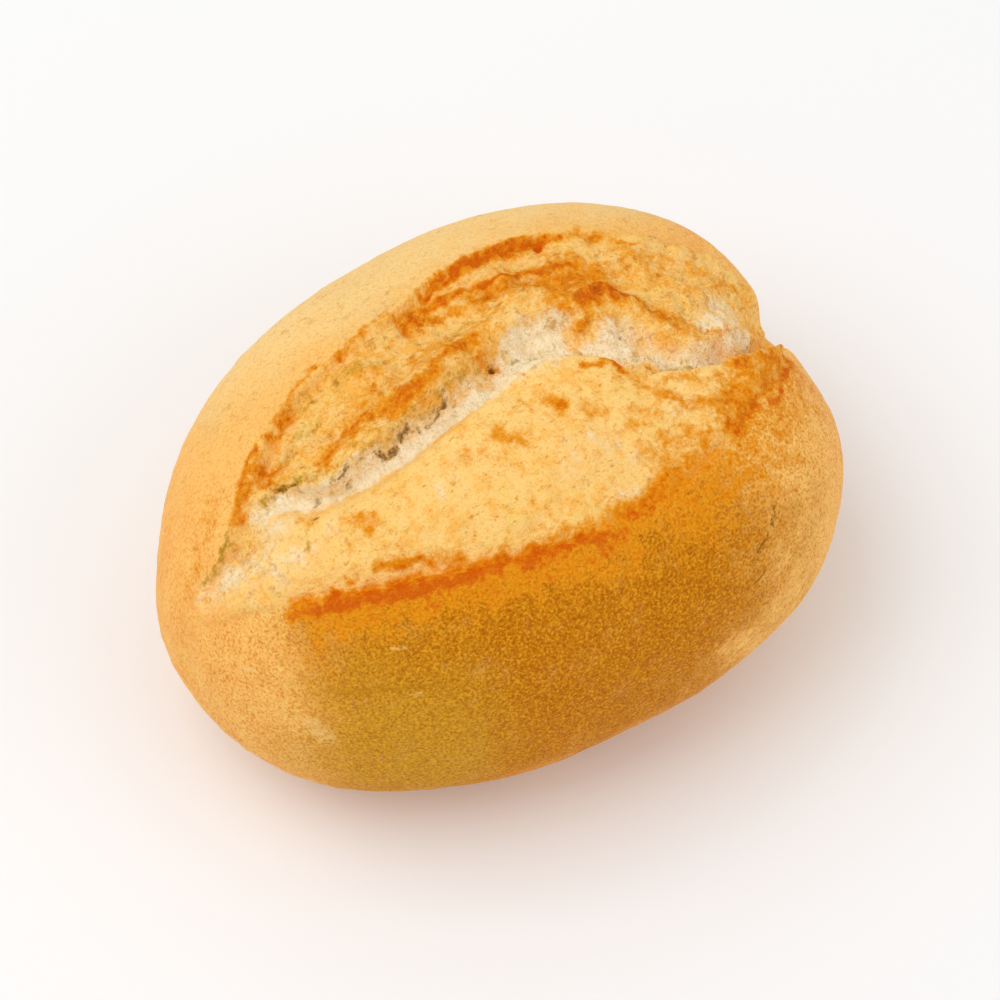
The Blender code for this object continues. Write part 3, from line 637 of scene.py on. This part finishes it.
class Surface:
    """The bun's finished surface: the skin's points moved by its relief, and masks for its colours."""

    def __init__(self, skin, sizes):
        self.skin = skin
        self.sizes = sizes
        self.masks = {}
        self.split()
        self.relief()
        self.overhangs()
        self.crags()
        self.fibres()
        self.top_places()
        self.holes()
        self.crust()
        self.browning()

    def split(self):
        """How far each place lies past the ragged edges of the split, and what lies between them."""
        skin, x = self.skin, self.skin.x
        fade = ease(*RAGGED_FROM, x)
        ragged = 0.45 * MM * rough(skin.points, RAGGED_SIZE, 2)
        ragged += 0.5 * MM * rough(skin.points, RAGGED_LARGE_SIZE, 1, 3.0)
        wander = 0.5 * MM * rough(skin.points, FISSURE_WANDER_SIZE, 2, 9.0) * fade
        past_near = skin.past_near + ragged * fade
        short_of_far = -skin.past_far + 0.7 * ragged * fade
        self.past_near, self.short_of_far = past_near, short_of_far
        self.past_fissure = skin.past_fissure + wander
        self.near_bank = smooth_line(NEAR_BANK, x)
        self.ridge = np.maximum(smooth_line(RIDGE, x) - smooth_line(FISSURE, x), LEAST_RIDGE) + wander
        self.inside = ease(-LEAST_DISTANCE, LIP_DROP_WIDTH, np.minimum(past_near, short_of_far))
        self.torn = ease(0.0, FADE_WIDTH, past_near + short_of_far) * self.inside

        near_blurs = past_near / smooth_line(NEAR_LIP_BLUR, x)
        far_blurs = short_of_far / smooth_line(FAR_LIP_BLUR, x)
        past_edge = np.minimum(near_blurs, far_blurs)
        self.masks["torn"] = np.clip(0.5 + 0.5 * past_edge, 0, 1) * ease(*LEFT_END, x)
        self.masks["face"] = ease(-0.5 * MM, 1.0 * MM, self.past_fissure)

    def near_slope(self, depth, flap):
        """The torn near slope with its flap, and its bank down into the fissure."""
        x, past_near = self.skin.x, self.past_near
        share = np.clip(past_near / np.maximum(past_near - self.past_fissure, LEAST_DISTANCE), 0, 1)
        slope = NEAR_SLOPE_BULGE * np.sin(np.pi * share) + flap * share**3
        slope -= smooth_line(NEAR_LIP_DROP, x) * (1 - share) ** 2
        bank = ease(-1.0, 0.0, self.past_fissure / self.near_bank) ** NEAR_BANK_POWER
        return slope - (depth + flap) * bank

    def far_face(self, depth):
        """The torn far face, down over the browned ridge to the fissure's floor."""
        x, past_fissure, ridge = self.skin.x, self.past_fissure, self.ridge
        share = np.clip(past_fissure / np.maximum(past_fissure + self.short_of_far, LEAST_DISTANCE), 0, 1)
        face = smooth_line(RIDGE_RISE, x) * bell(past_fissure - CREST_SHARE * ridge, RIDGE_REACH)
        face -= smooth_line(FAR_FACE_SINK, x) * np.sin(np.pi * share)
        face -= smooth_line(FAR_LIP_DROP, x) * share**2
        floor = ridge * smooth_line(FLOOR_SHARE, x)
        return face - depth * (1 - ease(floor, ridge, past_fissure))

    def relief(self):
        """The height of the two lips and of the torn ground between them."""
        x = self.skin.x
        depth = smooth_line(FISSURE_DEPTH, x)
        near_slope = self.near_slope(depth, smooth_line(FLAP_RISE, x))
        ground = np.where(self.past_fissure <= 0, near_slope, self.far_face(depth))
        near_rise = smooth_line(NEAR_LIP_RISE, x) * bell(self.past_near, LIP_REACH)
        far_rise = smooth_line(FAR_LIP_RISE, x) * bell(self.short_of_far, LIP_REACH)
        lips = (near_rise + far_rise) * (1 - self.inside)
        self.height = (lips + ground * self.torn) * ease(*LEFT_END, x)

    def overhangs(self):
        """How far the flap and the browned ridge lean out over the fissure."""
        x, past_fissure, torn = self.skin.x, self.past_fissure, self.torn
        flap = smooth_line(FLAP_RISE, x)
        lean = FLAP_LEAN * flap / FLAP_HIGHEST * bell(past_fissure + self.near_bank, FLAP_LEAN_REACH)
        start, full, fading, end = RIDGE_LEAN_PART
        part = ease(start, full, x) * ease(end, fading, x)
        over = bell(past_fissure - RIDGE_LEAN_SHARE * self.ridge, RIDGE_LEAN_REACH)
        self.shift = lean * torn - RIDGE_LEAN * over * torn * part

    def crags(self):
        """Crags and lumps, high on the torn far face and low on the near slope."""
        points, torn = self.skin.points, self.torn
        far = ease(-1.0 * MM, 3.0 * MM, self.past_fissure)
        large = rough(points, self.sizes.crag_size, 2)
        lumps = rough(points, LUMP_SIZE, 2, 13.0)
        fine = rough(points, FINE_LUMP_SIZE, 3, 5.0)
        tallest = far * self.sizes.crag_height + (1 - far) * self.sizes.slope_roughness
        self.height += torn * large * tallest
        self.height += torn * lumps * (0.25 + 0.50 * far) * MM
        self.height += torn * fine * (0.20 + 0.20 * far) * MM
        self.far, self.lumps = far, lumps
        self.masks["ridge"] = ease(-0.1, 0.8, large + 0.5 * lumps) * far * torn
        self.masks["bubbly"] = far * torn
        self.masks["granular"] = np.clip(1 - torn * (0.55 - 0.35 * far), 0, 1)

    def drawn_out(self, share, size, seed):
        """Noise drawn out across the fissure, as the fibres of the crumb are."""
        places = np.stack([self.skin.x, self.past_fissure * share, 0 * self.skin.x], axis=-1)
        return rough(places, size, 2, seed)

    def fibres(self):
        """Fibres of the crumb in the fissure and at the left end of the split."""
        in_fissure = ease(-1.2, -0.4, self.past_fissure / self.near_bank)
        in_fissure *= 1 - ease(0.6, 1.0, self.past_fissure / self.ridge)
        self.height += FIBRE_HEIGHT * self.drawn_out(*FIBRES) * in_fissure * self.torn
        left_end = ease(*STRANDS_PART, self.skin.x) * self.torn
        self.height += STRAND_HEIGHT * self.drawn_out(*STRANDS) * left_end
        self.in_fissure = in_fissure

    def burst(self, size, seed, edge, chance):
        """Scattered burst bubbles: 1 in the middle of one, shelving up to 0 at its edge."""
        near, value = cells(self.skin.points, size, seed)
        return (1 - ease(*edge, near)) * ease(*chance, value)

    def gully(self):
        """The broken gully that runs along under the browned ridge."""
        x = self.skin.x
        middle = self.past_fissure - GULLY_SHARE * self.ridge + GULLY_WANDER * self.lumps
        breaks = ease(-0.5, 0.1, rough(self.skin.points, GULLY_BREAK_SIZE, 1, 21.0))
        part = ease(*GULLY_LEFT_FADE, x) * ease(*GULLY_RIGHT_FADE, x)
        return bell(middle, GULLY_REACH) * part * breaks * self.torn

    def holes(self):
        """Burst bubbles of three sizes, the gully under the ridge and the larger hollows in it, all sunk
        into the relief and darkened with painted shade.
        """
        far, torn, in_fissure, gully = self.far, self.torn, self.in_fissure, self.gully()
        shaded_pit = self.burst(*PITS) * far * torn * (1 - 0.6 * in_fissure)
        hole = self.burst(*GULLY_HOLES) * np.clip(gully * 1.4, 0, 1)
        bubble = self.burst(*CRUMB_BUBBLES) * torn * (0.35 * far + in_fissure).clip(0, 1)
        hollow = self.stroked(HOLLOWS)
        self.height -= self.sizes.pit_depth * shaded_pit + CRUMB_BUBBLE_DEPTH * bubble
        self.height -= GULLY_HOLE_DEPTH * hole + GULLY_DEPTH * gully + HOLLOW_DEPTH * hollow
        # The painted shade of the pits, the gully and its holes, the crumb bubbles and the hollows
        self.masks["shaded_pit"] = np.clip(0.35 * shaded_pit + 0.6 * hole + 0.1 * gully + 0.25 * bubble + hollow, 0, 1)

    def crust(self):
        """The slow unevenness of the whole, its swells, and the roughness and blisters of the crust."""
        points = self.skin.points
        bare = 1 - self.inside
        self.height += self.sizes.unevenness * rough(points, UNEVEN_SIZE)
        for place, reach, height in SWELLS:
            self.height += height * bell(np.linalg.norm(points - place, axis=-1), reach)
        self.height += ROUGH_HEIGHT * rough(points, ROUGH_SIZE, 2, 7.0) * bare
        near, value = cells(points, BLISTER_SIZE, 4.0)
        self.height += BLISTER_HEIGHT * (1 - ease(0.1, 0.38, near)) * (value > 0.35) * bare

    def top_places(self):
        """Where each place lies for the strokes, moved a little so that their edges wander."""
        points = self.skin.points
        x, y, z = np.moveaxis(points, -1, 0)
        self.along = x / MM + STROKE_WANDER * rough(points, STROKE_WANDER_SIZE, 3, 41.0)
        self.across = y / MM + STROKE_WANDER * rough(points, STROKE_WANDER_SIZE, 3, 47.0)
        self.on_top = ease(*TOP_SHARES, z / HEIGHT)

    def stroked(self, strokes):
        """How near each place on the top is to the strokes."""
        return nearness(self.along, self.across, strokes) * self.on_top

    def browning(self):
        """How deeply each place is baked; how far it is toasted, dull greenish-brown and bare crumb; and
        where painted shadow lies under the far lip and painted shade under the ridge and in the left end's
        crease.
        """
        points = self.skin.points
        x, y, z = np.moveaxis(points, -1, 0)
        up = z / HEIGHT
        masks = self.masks
        for mask, strokes in (("toast_and_shadow", TOAST_AND_SHADOW), ("olive_and_shade", OLIVE_AND_SHADE), ("cream", CREAM)):
            masks[mask] = self.stroked(strokes)
        ends = 1 - 0.86 * ease(*PALE_RIGHT, x) - 0.85 * ease(*PALE_LEFT, x)
        low_right = 0.44 * ease(*PALE_LOW_RIGHT, up) * ease(*PALE_LOW_RIGHT_ALONG, x)
        low = 1 - np.maximum(0.32 * ease(*PALE_LOW, up), low_right)
        masks["bake"] = ease(*BAKED_ACROSS, y) * ends * low
        masks["rosy"] = np.maximum(ease(*ROSY_ENDS, np.abs(x) / (LENGTH / 2)), ease(*ROSY_LOW, up))
        masks["fair"] = ease(*FAIR_ACROSS, y) * ease(*FAIR_ALONG, x) * ease(*FAIR_UP, up)
        masks["golden"] = bell(np.linalg.norm(points - GOLDEN_PLACE, axis=-1), GOLDEN_REACH)
        masks["granular"] *= 0.50 + 0.50 * ease(*GRAINY_ACROSS, y)

    def finished_points(self):
        """The moved points, filling the solid's box, with the base flat at z = 0."""
        skin = self.skin
        points = skin.points + skin.normals * self.height[..., None]
        points += skin.sideways * self.shift[..., None]
        points[0] = points[0].mean(axis=0)
        points[-1] = points[-1].mean(axis=0)
        points[..., 2] = flatten_base(points[..., 2])
        low = points.min(axis=(0, 1))
        high = points.max(axis=(0, 1))
        points -= ((low[0] + high[0]) / 2, (low[1] + high[1]) / 2, low[2])
        return points * (LENGTH, WIDTH, HEIGHT) / (high - low)


def sphere_onto(surface, name):
    """A sphere whose poles are the bun's two ends, with its points and masks taken from the surface."""
    points = surface.finished_points()
    rings, round_it = points.shape[0] - 1, points.shape[1]
    bpy.ops.mesh.primitive_uv_sphere_add(segments=round_it, ring_count=rings, radius=1.0)
    piece = bpy.context.object
    piece.name = name
    mesh = piece.data
    mesh.name = name
    unit = np.empty(len(mesh.vertices) * 3)
    mesh.vertices.foreach_get("co", unit)
    unit = unit.reshape(-1, 3)
    ring = np.rint(np.arccos(np.clip(-unit[:, 2], -1, 1)) / np.pi * rings).astype(int)
    around = np.arctan2(unit[:, 1], unit[:, 0]) / (2 * np.pi) * round_it
    column = -np.rint(around).astype(int) % round_it
    mesh.vertices.foreach_set("co", points[ring, column].ravel())
    for mask, values in surface.masks.items():
        layer = mesh.attributes.new(mask, "FLOAT", "POINT")
        layer.data.foreach_set("value", values[ring, column].astype(np.float32))
    mesh.update()
    mesh.shade_smooth()
    return piece


class Nodes:
    """Adds nodes to a material and links them, so that a finish reads as a few short lines."""

    def __init__(self, name):
        self.material = bpy.data.materials.new(name)
        self.material.use_nodes = True
        self.tree = self.material.node_tree
        self.shader = self.tree.nodes["Principled BSDF"]
        self.place = self.add("ShaderNodeTexCoord").outputs["Object"]

    def add(self, kind, **settings):
        node = self.tree.nodes.new(kind)
        for key, value in settings.items():
            setattr(node, key, value)
        return node

    def put(self, socket, value):
        if isinstance(value, bpy.types.NodeSocket):
            self.tree.links.new(value, socket)
        elif socket.type == "RGBA":
            socket.default_value = (*value, 1.0)
        else:
            socket.default_value = value

    def mask(self, name):
        return self.add("ShaderNodeAttribute", attribute_name=name).outputs["Fac"]

    def maths(self, operation, first, second=0.0, clamp=False):
        node = self.add("ShaderNodeMath", operation=operation, use_clamp=clamp)
        self.put(node.inputs[0], first)
        self.put(node.inputs[1], second)
        return node.outputs[0]

    def swung(self, value, *swings):
        """The value, moved up and down by noises that lie about one half, each by its own amount."""
        for grain, amount in swings:
            swing = self.maths("MULTIPLY", self.maths("SUBTRACT", grain, 0.5), amount)
            value = self.maths("ADD", value, swing)
        return value

    def product(self, first, *others):
        """The values multiplied together."""
        for other in others:
            first = self.maths("MULTIPLY", first, other)
        return first

    def between(self, value, low, high, to_low=0.0, to_high=1.0):
        node = self.add("ShaderNodeMapRange", interpolation_type="SMOOTHSTEP")
        self.put(node.inputs["Value"], value)
        for socket, number in zip(node.inputs[1:5], (low, high, to_low, to_high)):
            self.put(socket, number)
        return node.outputs["Result"]

    def stretched(self, x, y, z):
        """Places with the three axes scaled, so that what is laid over them is drawn out."""
        node = self.add("ShaderNodeVectorMath", operation="MULTIPLY")
        self.put(node.inputs[0], self.place)
        self.put(node.inputs[1], (x, y, z))
        return node.outputs["Vector"]

    def grain(self, size, detail=3.0, roughness=0.6, distortion=0.0, at=None):
        """Noise whose largest lumps have that size."""
        node = self.add("ShaderNodeTexNoise")
        self.put(node.inputs["Vector"], at or self.place)
        self.put(node.inputs["Scale"], 1.0 / size)
        self.put(node.inputs["Detail"], detail)
        self.put(node.inputs["Roughness"], roughness)
        self.put(node.inputs["Distortion"], distortion)
        return node.outputs["Fac"]

    def bubbles(self, size, share):
        """Scattered burst bubbles of uneven shape: how far a place is inside one, and on its rim."""
        node = self.add("ShaderNodeTexVoronoi")
        self.put(node.inputs["Vector"], self.wandering(1.3 * size, size / 1.4))
        self.put(node.inputs["Scale"], 1.0 / size)
        chance = self.add("ShaderNodeSeparateColor")
        self.put(chance.inputs["Color"], node.outputs["Color"])
        there = self.between(chance.outputs["Red"], 0.95 - share, 1.05 - share)
        inside = self.between(node.outputs["Distance"], 0.38, 0.14)
        rim = self.maths("MULTIPLY", self.between(node.outputs["Distance"], 0.24, 0.40),
                         self.between(node.outputs["Distance"], 0.60, 0.44))
        return self.maths("MULTIPLY", inside, there), self.maths("MULTIPLY", rim, there)

    def wandering(self, amount, size):
        """Places moved about by noise, so that what is laid over them is uneven."""
        swirl = self.add("ShaderNodeTexNoise")
        self.put(swirl.inputs["Vector"], self.place)
        self.put(swirl.inputs["Scale"], 1.0 / size)
        moved = self.add("ShaderNodeVectorMath", operation="MULTIPLY_ADD")
        self.put(moved.inputs[0], swirl.outputs["Color"])
        self.put(moved.inputs[1], (amount,) * 3)
        self.put(moved.inputs[2], self.place)
        return moved.outputs["Vector"]

    def distance_from(self, along, up, start, end):
        """How far each place of a side is from the line between two places given in millimetres."""
        run_x, run_z = (end[0] - start[0]) * MM, (end[1] - start[1]) * MM
        square = run_x**2 + run_z**2
        dx = self.maths("SUBTRACT", along, start[0] * MM)
        dz = self.maths("SUBTRACT", up, start[1] * MM)
        share = self.maths("ADD", self.maths("MULTIPLY", dx, run_x / square),
                           self.maths("MULTIPLY", dz, run_z / square), clamp=True)
        off_x = self.maths("SUBTRACT", dx, self.maths("MULTIPLY", share, run_x))
        off_z = self.maths("SUBTRACT", dz, self.maths("MULTIPLY", share, run_z))
        square_x = self.maths("MULTIPLY", off_x, off_x)
        square_z = self.maths("MULTIPLY", off_z, off_z)
        return self.maths("SQRT", self.maths("ADD", square_x, square_z))

    def blend(self, amount, first, second, way="MIX"):
        node = self.add("ShaderNodeMix", data_type="RGBA", blend_type=way)
        self.put(node.inputs[0], amount)
        self.put(node.inputs[6], first)
        self.put(node.inputs[7], second)
        return node.outputs[2]

    def bump(self, height, strength, distance, below=None):
        node = self.add("ShaderNodeBump")
        self.put(node.inputs["Height"], height)
        self.put(node.inputs["Strength"], strength)
        self.put(node.inputs["Distance"], distance)
        if below is not None:
            self.put(node.inputs["Normal"], below)
        return node.outputs["Normal"]


class Grains:
    """The noises of the crust and the crumb, from the finest to the broadest."""

    def __init__(self, n):
        self.speck = n.grain(0.44 * MM, 2.0, 0.7)
        self.fine = n.grain(0.80 * MM, 3.0, 0.7)
        self.flecks = n.grain(1.0 * MM, 3.0, 0.75, at=n.stretched(0.7, 1.2, 1.0))
        self.small = n.grain(1.8 * MM, 4.0, 0.65)
        self.patchy = n.grain(3.2 * MM, 4.0, 0.65, 0.6)
        self.medium = n.grain(5.0 * MM, 4.0, 0.6)
        self.broad = n.grain(18.0 * MM, 3.0, 0.5)
        self.strands = n.grain(0.55 * MM, 3.0, 0.65, at=n.stretched(1.0, 0.28, 0.35))
        self.locks = n.grain(1.5 * MM, 3.0, 0.6, at=n.stretched(1.0, 0.30, 0.40))


def crust_colour(n, grains, colours, bake):
    """Crust from pale to well baked, rosy at the ends, fair at the far shoulder, golden in front."""
    small, medium, broad = grains.small, grains.medium, grains.broad
    crust = n.blend(n.between(bake, -0.05, 0.85), colours.pale_crust, colours.deep_crust)
    rosy = n.product(n.mask("rosy"), n.between(medium, 0.25, 0.65), 0.75)
    crust = n.blend(rosy, crust, colours.rosy_crust)
    fair = n.swung(n.mask("fair"), (medium, 1.0), (broad, 1.2))
    crust = n.blend(n.between(fair, 0.1, 0.95, 0.0, 0.70), crust, colours.fair_crust)
    golden = n.swung(n.mask("golden"), (broad, 0.8), (small, 0.4))
    return n.blend(n.between(golden, 0.15, 0.95, 0.0, 0.70), crust, colours.golden_crust)


def ripped_colour(n, grains, colours):
    """The torn near slope and far face, with yellow patches, browned crags and dark flecks."""
    patches = n.swung(grains.medium, (grains.small, 1.2))
    slope = n.blend(n.between(patches, 0.42, 0.72, 0.0, 0.9), colours.slope, colours.blush)
    face = n.blend(n.between(patches, 0.36, 0.62), colours.face_pale, colours.face)
    ripped = n.blend(n.mask("face"), slope, face)
    ripped = n.blend(n.between(grains.patchy, 0.50, 0.66, 0.0, 0.75), ripped, colours.straw_and_highlight)
    crags = n.swung(n.mask("ridge"), (grains.small, 1.8))
    ripped = n.blend(n.between(crags, 0.45, 1.2, 0.0, 0.6), ripped, colours.toast_and_shadow)
    flecks = n.between(grains.flecks, 0.42, 0.30, 0.0, 0.85)
    return n.blend(flecks, ripped, colours.dark_grain_and_shade, "MULTIPLY")


def crumb_colour(n, grains, colours):
    """Bare crumb with darker strands and locks."""
    strands = n.between(grains.strands, 0.54, 0.36, 0.0, 0.8)
    locks = n.between(grains.locks, 0.42, 0.28, 0.0, 0.45)
    return n.blend(locks, n.blend(strands, colours.crumb, colours.crumb_shade), colours.olive_and_shade)


def browned(n, grains, colours, colour, toast_and_shadow):
    """The colour with bare crumb, greenish-brown patches, toasted places, and the painted shade and shadow
    laid over it: under the ridge, in the left end's crease, in pits, the gully and hollows, and under the
    far lip's edge.
    """
    small, patchy, fine = grains.small, grains.patchy, grains.fine
    cream = n.swung(n.mask("cream"), (patchy, 0.9), (small, 0.6), (grains.locks, 0.8))
    colour = n.blend(n.between(cream, 0.15, 0.85), colour, crumb_colour(n, grains, colours))
    # Greenish-brown patches, and painted shade under the ridge and in the crease
    olive_and_shade = n.swung(n.mask("olive_and_shade"), (small, 1.6), (fine, 1.2), (grains.locks, 0.8))
    colour = n.blend(n.between(olive_and_shade, 0.18, 0.95, 0.0, 0.9), colour, colours.olive_and_shade)
    # Toasted places, and the painted shadow line under the far lip's edge
    colour = n.blend(n.between(toast_and_shadow, 0.08, 0.78), colour, colours.toast_and_shadow)
    colour = n.blend(n.between(toast_and_shadow, 0.62, 1.15), colour, colours.singe_and_shadow)
    # Painted shade in pits, the gully and the hollows
    shaded_pit = n.swung(n.mask("shaded_pit"), (fine, 1.6), (grains.strands, 0.8))
    return n.blend(n.between(shaded_pit, 0.25, 0.95, 0.0, 0.90), colour, colours.shaded_pit)


def grained(n, grains, colours, colour, bake, toast_and_shadow):
    """The colour with light and dark grains, fewer where the bun is torn or toasted."""
    grainy = n.product(n.mask("granular"), n.between(toast_and_shadow, 0.3, 1.0, 1.0, 0.28))
    light = n.product(n.between(grains.speck, 0.50, 0.66), grainy, 0.56)
    light_grain = n.blend(n.between(bake, 0.10, 0.60), colours.grain_crust, colours.grain_deep)
    dark = n.product(n.between(grains.speck, 0.50, 0.34), grainy, 0.80)
    return n.blend(dark, n.blend(light, colour, light_grain), colours.dark_grain_and_shade, "MULTIPLY")


def side_marks(n, grains, colours, colour):
    """The colour with the scratches, pale scars and cracks of the near side drawn on it, the cracks dark
    with painted shade.
    """
    here = n.add("ShaderNodeSeparateXYZ")
    n.put(here.inputs[0], n.wandering(MARK_WANDER, MARK_WANDER_SIZE))
    broken = n.between(grains.fine, 0.36, 0.54)
    seen = n.product(n.between(here.outputs["Y"], *NEAR_SIDE), broken)
    kinds = ((SCRATCHES, colours.scratch), (SCARS, colours.scar), (CRACKS, colours.crack_shade))
    for strokes, shade in kinds:
        for radius, strength, *points in strokes:
            for start, end in zip(points, points[1:]):
                away = n.distance_from(here.outputs["X"], here.outputs["Z"], start, end)
                mark = n.between(away, radius * MM, MARK_SOFT_EDGE * radius * MM, 0.0, strength)
                colour = n.blend(n.product(mark, seen), colour, shade)
    return colour


def bubbled(n, colours, colour, hole, rim, toast_and_shadow):
    """The colour with painted highlight on the rims and painted shade inside small burst bubbles."""
    bubbly = n.mask("bubbly")
    # Painted highlight on the bubbles' raised rims, and painted shade in their dips
    pale = n.product(rim, bubbly, n.between(toast_and_shadow, 0.2, 0.7, 0.26, 0.03))
    colour = n.blend(pale, colour, colours.straw_and_highlight)
    return n.blend(n.product(hole, bubbly, 0.60), colour, colours.dark_grain_and_shade, "MULTIPLY")


def skin_bumps(n, grains, hole, rim):
    """Bumps too fine for the mesh: grains, small bubbles with their rims, and strands of crumb."""
    skin = n.bump(grains.speck, 0.6, 0.20 * MM)
    skin = n.bump(grains.fine, 0.6, 0.30 * MM, skin)
    bubbles = n.maths("SUBTRACT", rim, hole)
    skin = n.bump(bubbles, n.product(n.mask("bubbly"), 0.35), 0.40 * MM, skin)
    skin = n.bump(grains.strands, n.product(n.mask("cream"), 0.7), 0.40 * MM, skin)
    return n.bump(grains.small, 0.5, 0.5 * MM, skin)


def baked_finish(colours):
    """Golden crust with fine grain, toasted lips, torn slope and face, bare crumb, painted shade in pits,
    hollows, cracks and bubbles, painted highlight on bubble rims, and a painted shadow line under the far
    lip.
    """
    n = Nodes("baked_crust")
    grains = Grains(n)
    small, medium = grains.small, grains.medium
    torn = n.between(n.swung(n.mask("torn"), (small, 1.6)), 0.25, 0.75)
    bake = n.swung(n.mask("bake"), (grains.broad, 1.2), (small, 0.7), (medium, 0.8))
    toast_and_shadow = n.swung(n.mask("toast_and_shadow"), (small, 1.3), (grains.patchy, 0.8), (grains.fine, 1.0))
    hole, rim = n.bubbles(1.9 * MM, 0.40)

    crust = crust_colour(n, grains, colours, bake)
    colour = n.blend(torn, crust, ripped_colour(n, grains, colours))
    colour = browned(n, grains, colours, colour, toast_and_shadow)
    colour = grained(n, grains, colours, colour, bake, toast_and_shadow)
    colour = side_marks(n, grains, colours, colour)
    colour = bubbled(n, colours, colour, hole, rim, toast_and_shadow)
    n.put(n.shader.inputs["Base Color"], colour)
    n.put(n.shader.inputs["Roughness"], n.between(torn, 0.0, 1.0, 0.55, 0.85))
    n.put(n.shader.inputs["Specular IOR Level"], 0.06)
    n.put(n.shader.inputs["Normal"], skin_bumps(n, grains, hole, rim))
    return n.material


def floor_finish(colours):
    """A plain pale floor, very faintly clouded."""
    n = Nodes("pale_floor")
    cloud = n.between(n.grain(FLOOR_CLOUD_SIZE, 2.0), 0.3, 0.7, 0.985, 1.0)
    colour = tuple(colours.floor)
    n.put(n.shader.inputs["Base Color"], n.blend(cloud, tuple(0.97 * c for c in colour), colour))
    n.put(n.shader.inputs["Roughness"], 0.9)
    n.put(n.shader.inputs["Specular IOR Level"], 0.1)
    return n.material


class WHEATBUN_OT_crust(bpy.types.Operator):
    """Model the bun's crust and torn face"""

    bl_idname = "wheat_bun.crust"
    bl_label = "Bun Crust"

    def execute(self, context):
        sizes = context.scene.bun_sizes
        share = 1.0
        surface = Surface(Skin(round(sizes.rings * share), share), sizes)
        piece = sphere_onto(surface, "bun_crust")
        piece.data.materials.append(baked_finish(context.scene.bun_colours))
        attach(piece, "root")
        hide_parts("bun")
        return {"FINISHED"}


class WHEATBUN_OT_stage(bpy.types.Operator):
    """Set up the floor, the soft light and the camera"""

    bl_idname = "wheat_bun.stage"
    bl_label = "Stage"

    def execute(self, context):
        self.floor(context)
        self.world(context)
        self.lights(context)
        self.camera(context)
        return {"FINISHED"}

    def floor(self, context):
        bpy.ops.mesh.primitive_plane_add(size=FLOOR_SIZE)
        floor = context.object
        floor.name = "floor"
        floor.data.materials.append(floor_finish(context.scene.bun_colours))

    def world(self, context):
        world = bpy.data.worlds.new("studio")
        world.use_nodes = True
        background = world.node_tree.nodes["Background"]
        background.inputs["Color"].default_value = (1.0, 1.0, 1.0, 1.0)
        background.inputs["Strength"].default_value = WORLD_STRENGTH
        context.scene.world = world
        context.scene.view_settings.view_transform = "Standard"

    def lights(self, context):
        aim = Vector((0.0, 0.0, HEIGHT / 2))
        for name, place, size, power in LAMPS:
            light = bpy.data.lights.new(name, "AREA")
            light.size = size
            light.energy = power
            lamp = bpy.data.objects.new(name, light)
            lamp.location = place
            lamp.rotation_euler = (aim - lamp.location).to_track_quat("-Z", "Y").to_euler()
            context.collection.objects.link(lamp)

    def camera(self, context):
        turn, rise, roll = np.radians((CAMERA_TURN, CAMERA_HEIGHT_ANGLE, CAMERA_ROLL))
        back = Vector((-np.sin(turn) * np.cos(rise), -np.cos(turn) * np.cos(rise), np.sin(rise)))
        level = Vector((np.cos(turn), -np.sin(turn), 0.0))
        upward = back.cross(level)
        side = level * np.cos(roll) - upward * np.sin(roll)
        top = level * np.sin(roll) + upward * np.cos(roll)
        lens = bpy.data.cameras.new("camera")
        lens.sensor_width = SENSOR
        lens.lens = FOCAL_PIXELS / FRAME_PIXELS * SENSOR
        lens.shift_x = 0.5 - AIM_PIXEL[0] / FRAME_PIXELS
        lens.shift_y = AIM_PIXEL[1] / FRAME_PIXELS - 0.5
        camera = bpy.data.objects.new("camera", lens)
        place = Vector((0.0, 0.0, HEIGHT / 2)) + back * CAMERA_DISTANCE
        camera.matrix_world = Matrix.Translation(place) @ Matrix((side, top, back)).transposed().to_4x4()
        context.collection.objects.link(camera)
        context.scene.camera = camera


class WHEATBUN_PT_panel(bpy.types.Panel):
    """The bun's pieces, sizes and colours"""

    bl_label = "Wheat Bun"
    bl_idname = "WHEATBUN_PT_panel"
    bl_space_type = "VIEW_3D"
    bl_region_type = "UI"
    bl_category = "Wheat Bun"

    def draw(self, context):
        for group in (context.scene.bun_sizes, context.scene.bun_colours):
            box = self.layout.box()
            for name in group.__annotations__:
                box.prop(group, name)
        for operator in OPERATORS:
            self.layout.operator(operator.bl_idname)


OPERATORS = (WHEATBUN_OT_crust, WHEATBUN_OT_stage)
CLASSES = (BunSizes, BunColours, *OPERATORS, WHEATBUN_PT_panel)


def register():
    for part in CLASSES:
        bpy.utils.register_class(part)
    bpy.types.Scene.bun_sizes = PointerProperty(type=BunSizes)
    bpy.types.Scene.bun_colours = PointerProperty(type=BunColours)


def unregister():
    del bpy.types.Scene.bun_colours
    del bpy.types.Scene.bun_sizes
    for part in reversed(CLASSES):
        bpy.utils.unregister_class(part)


def main():
    register()
    bpy.ops.wheat_bun.crust()
    bpy.ops.wheat_bun.stage()


if __name__ == "__main__":
    main()
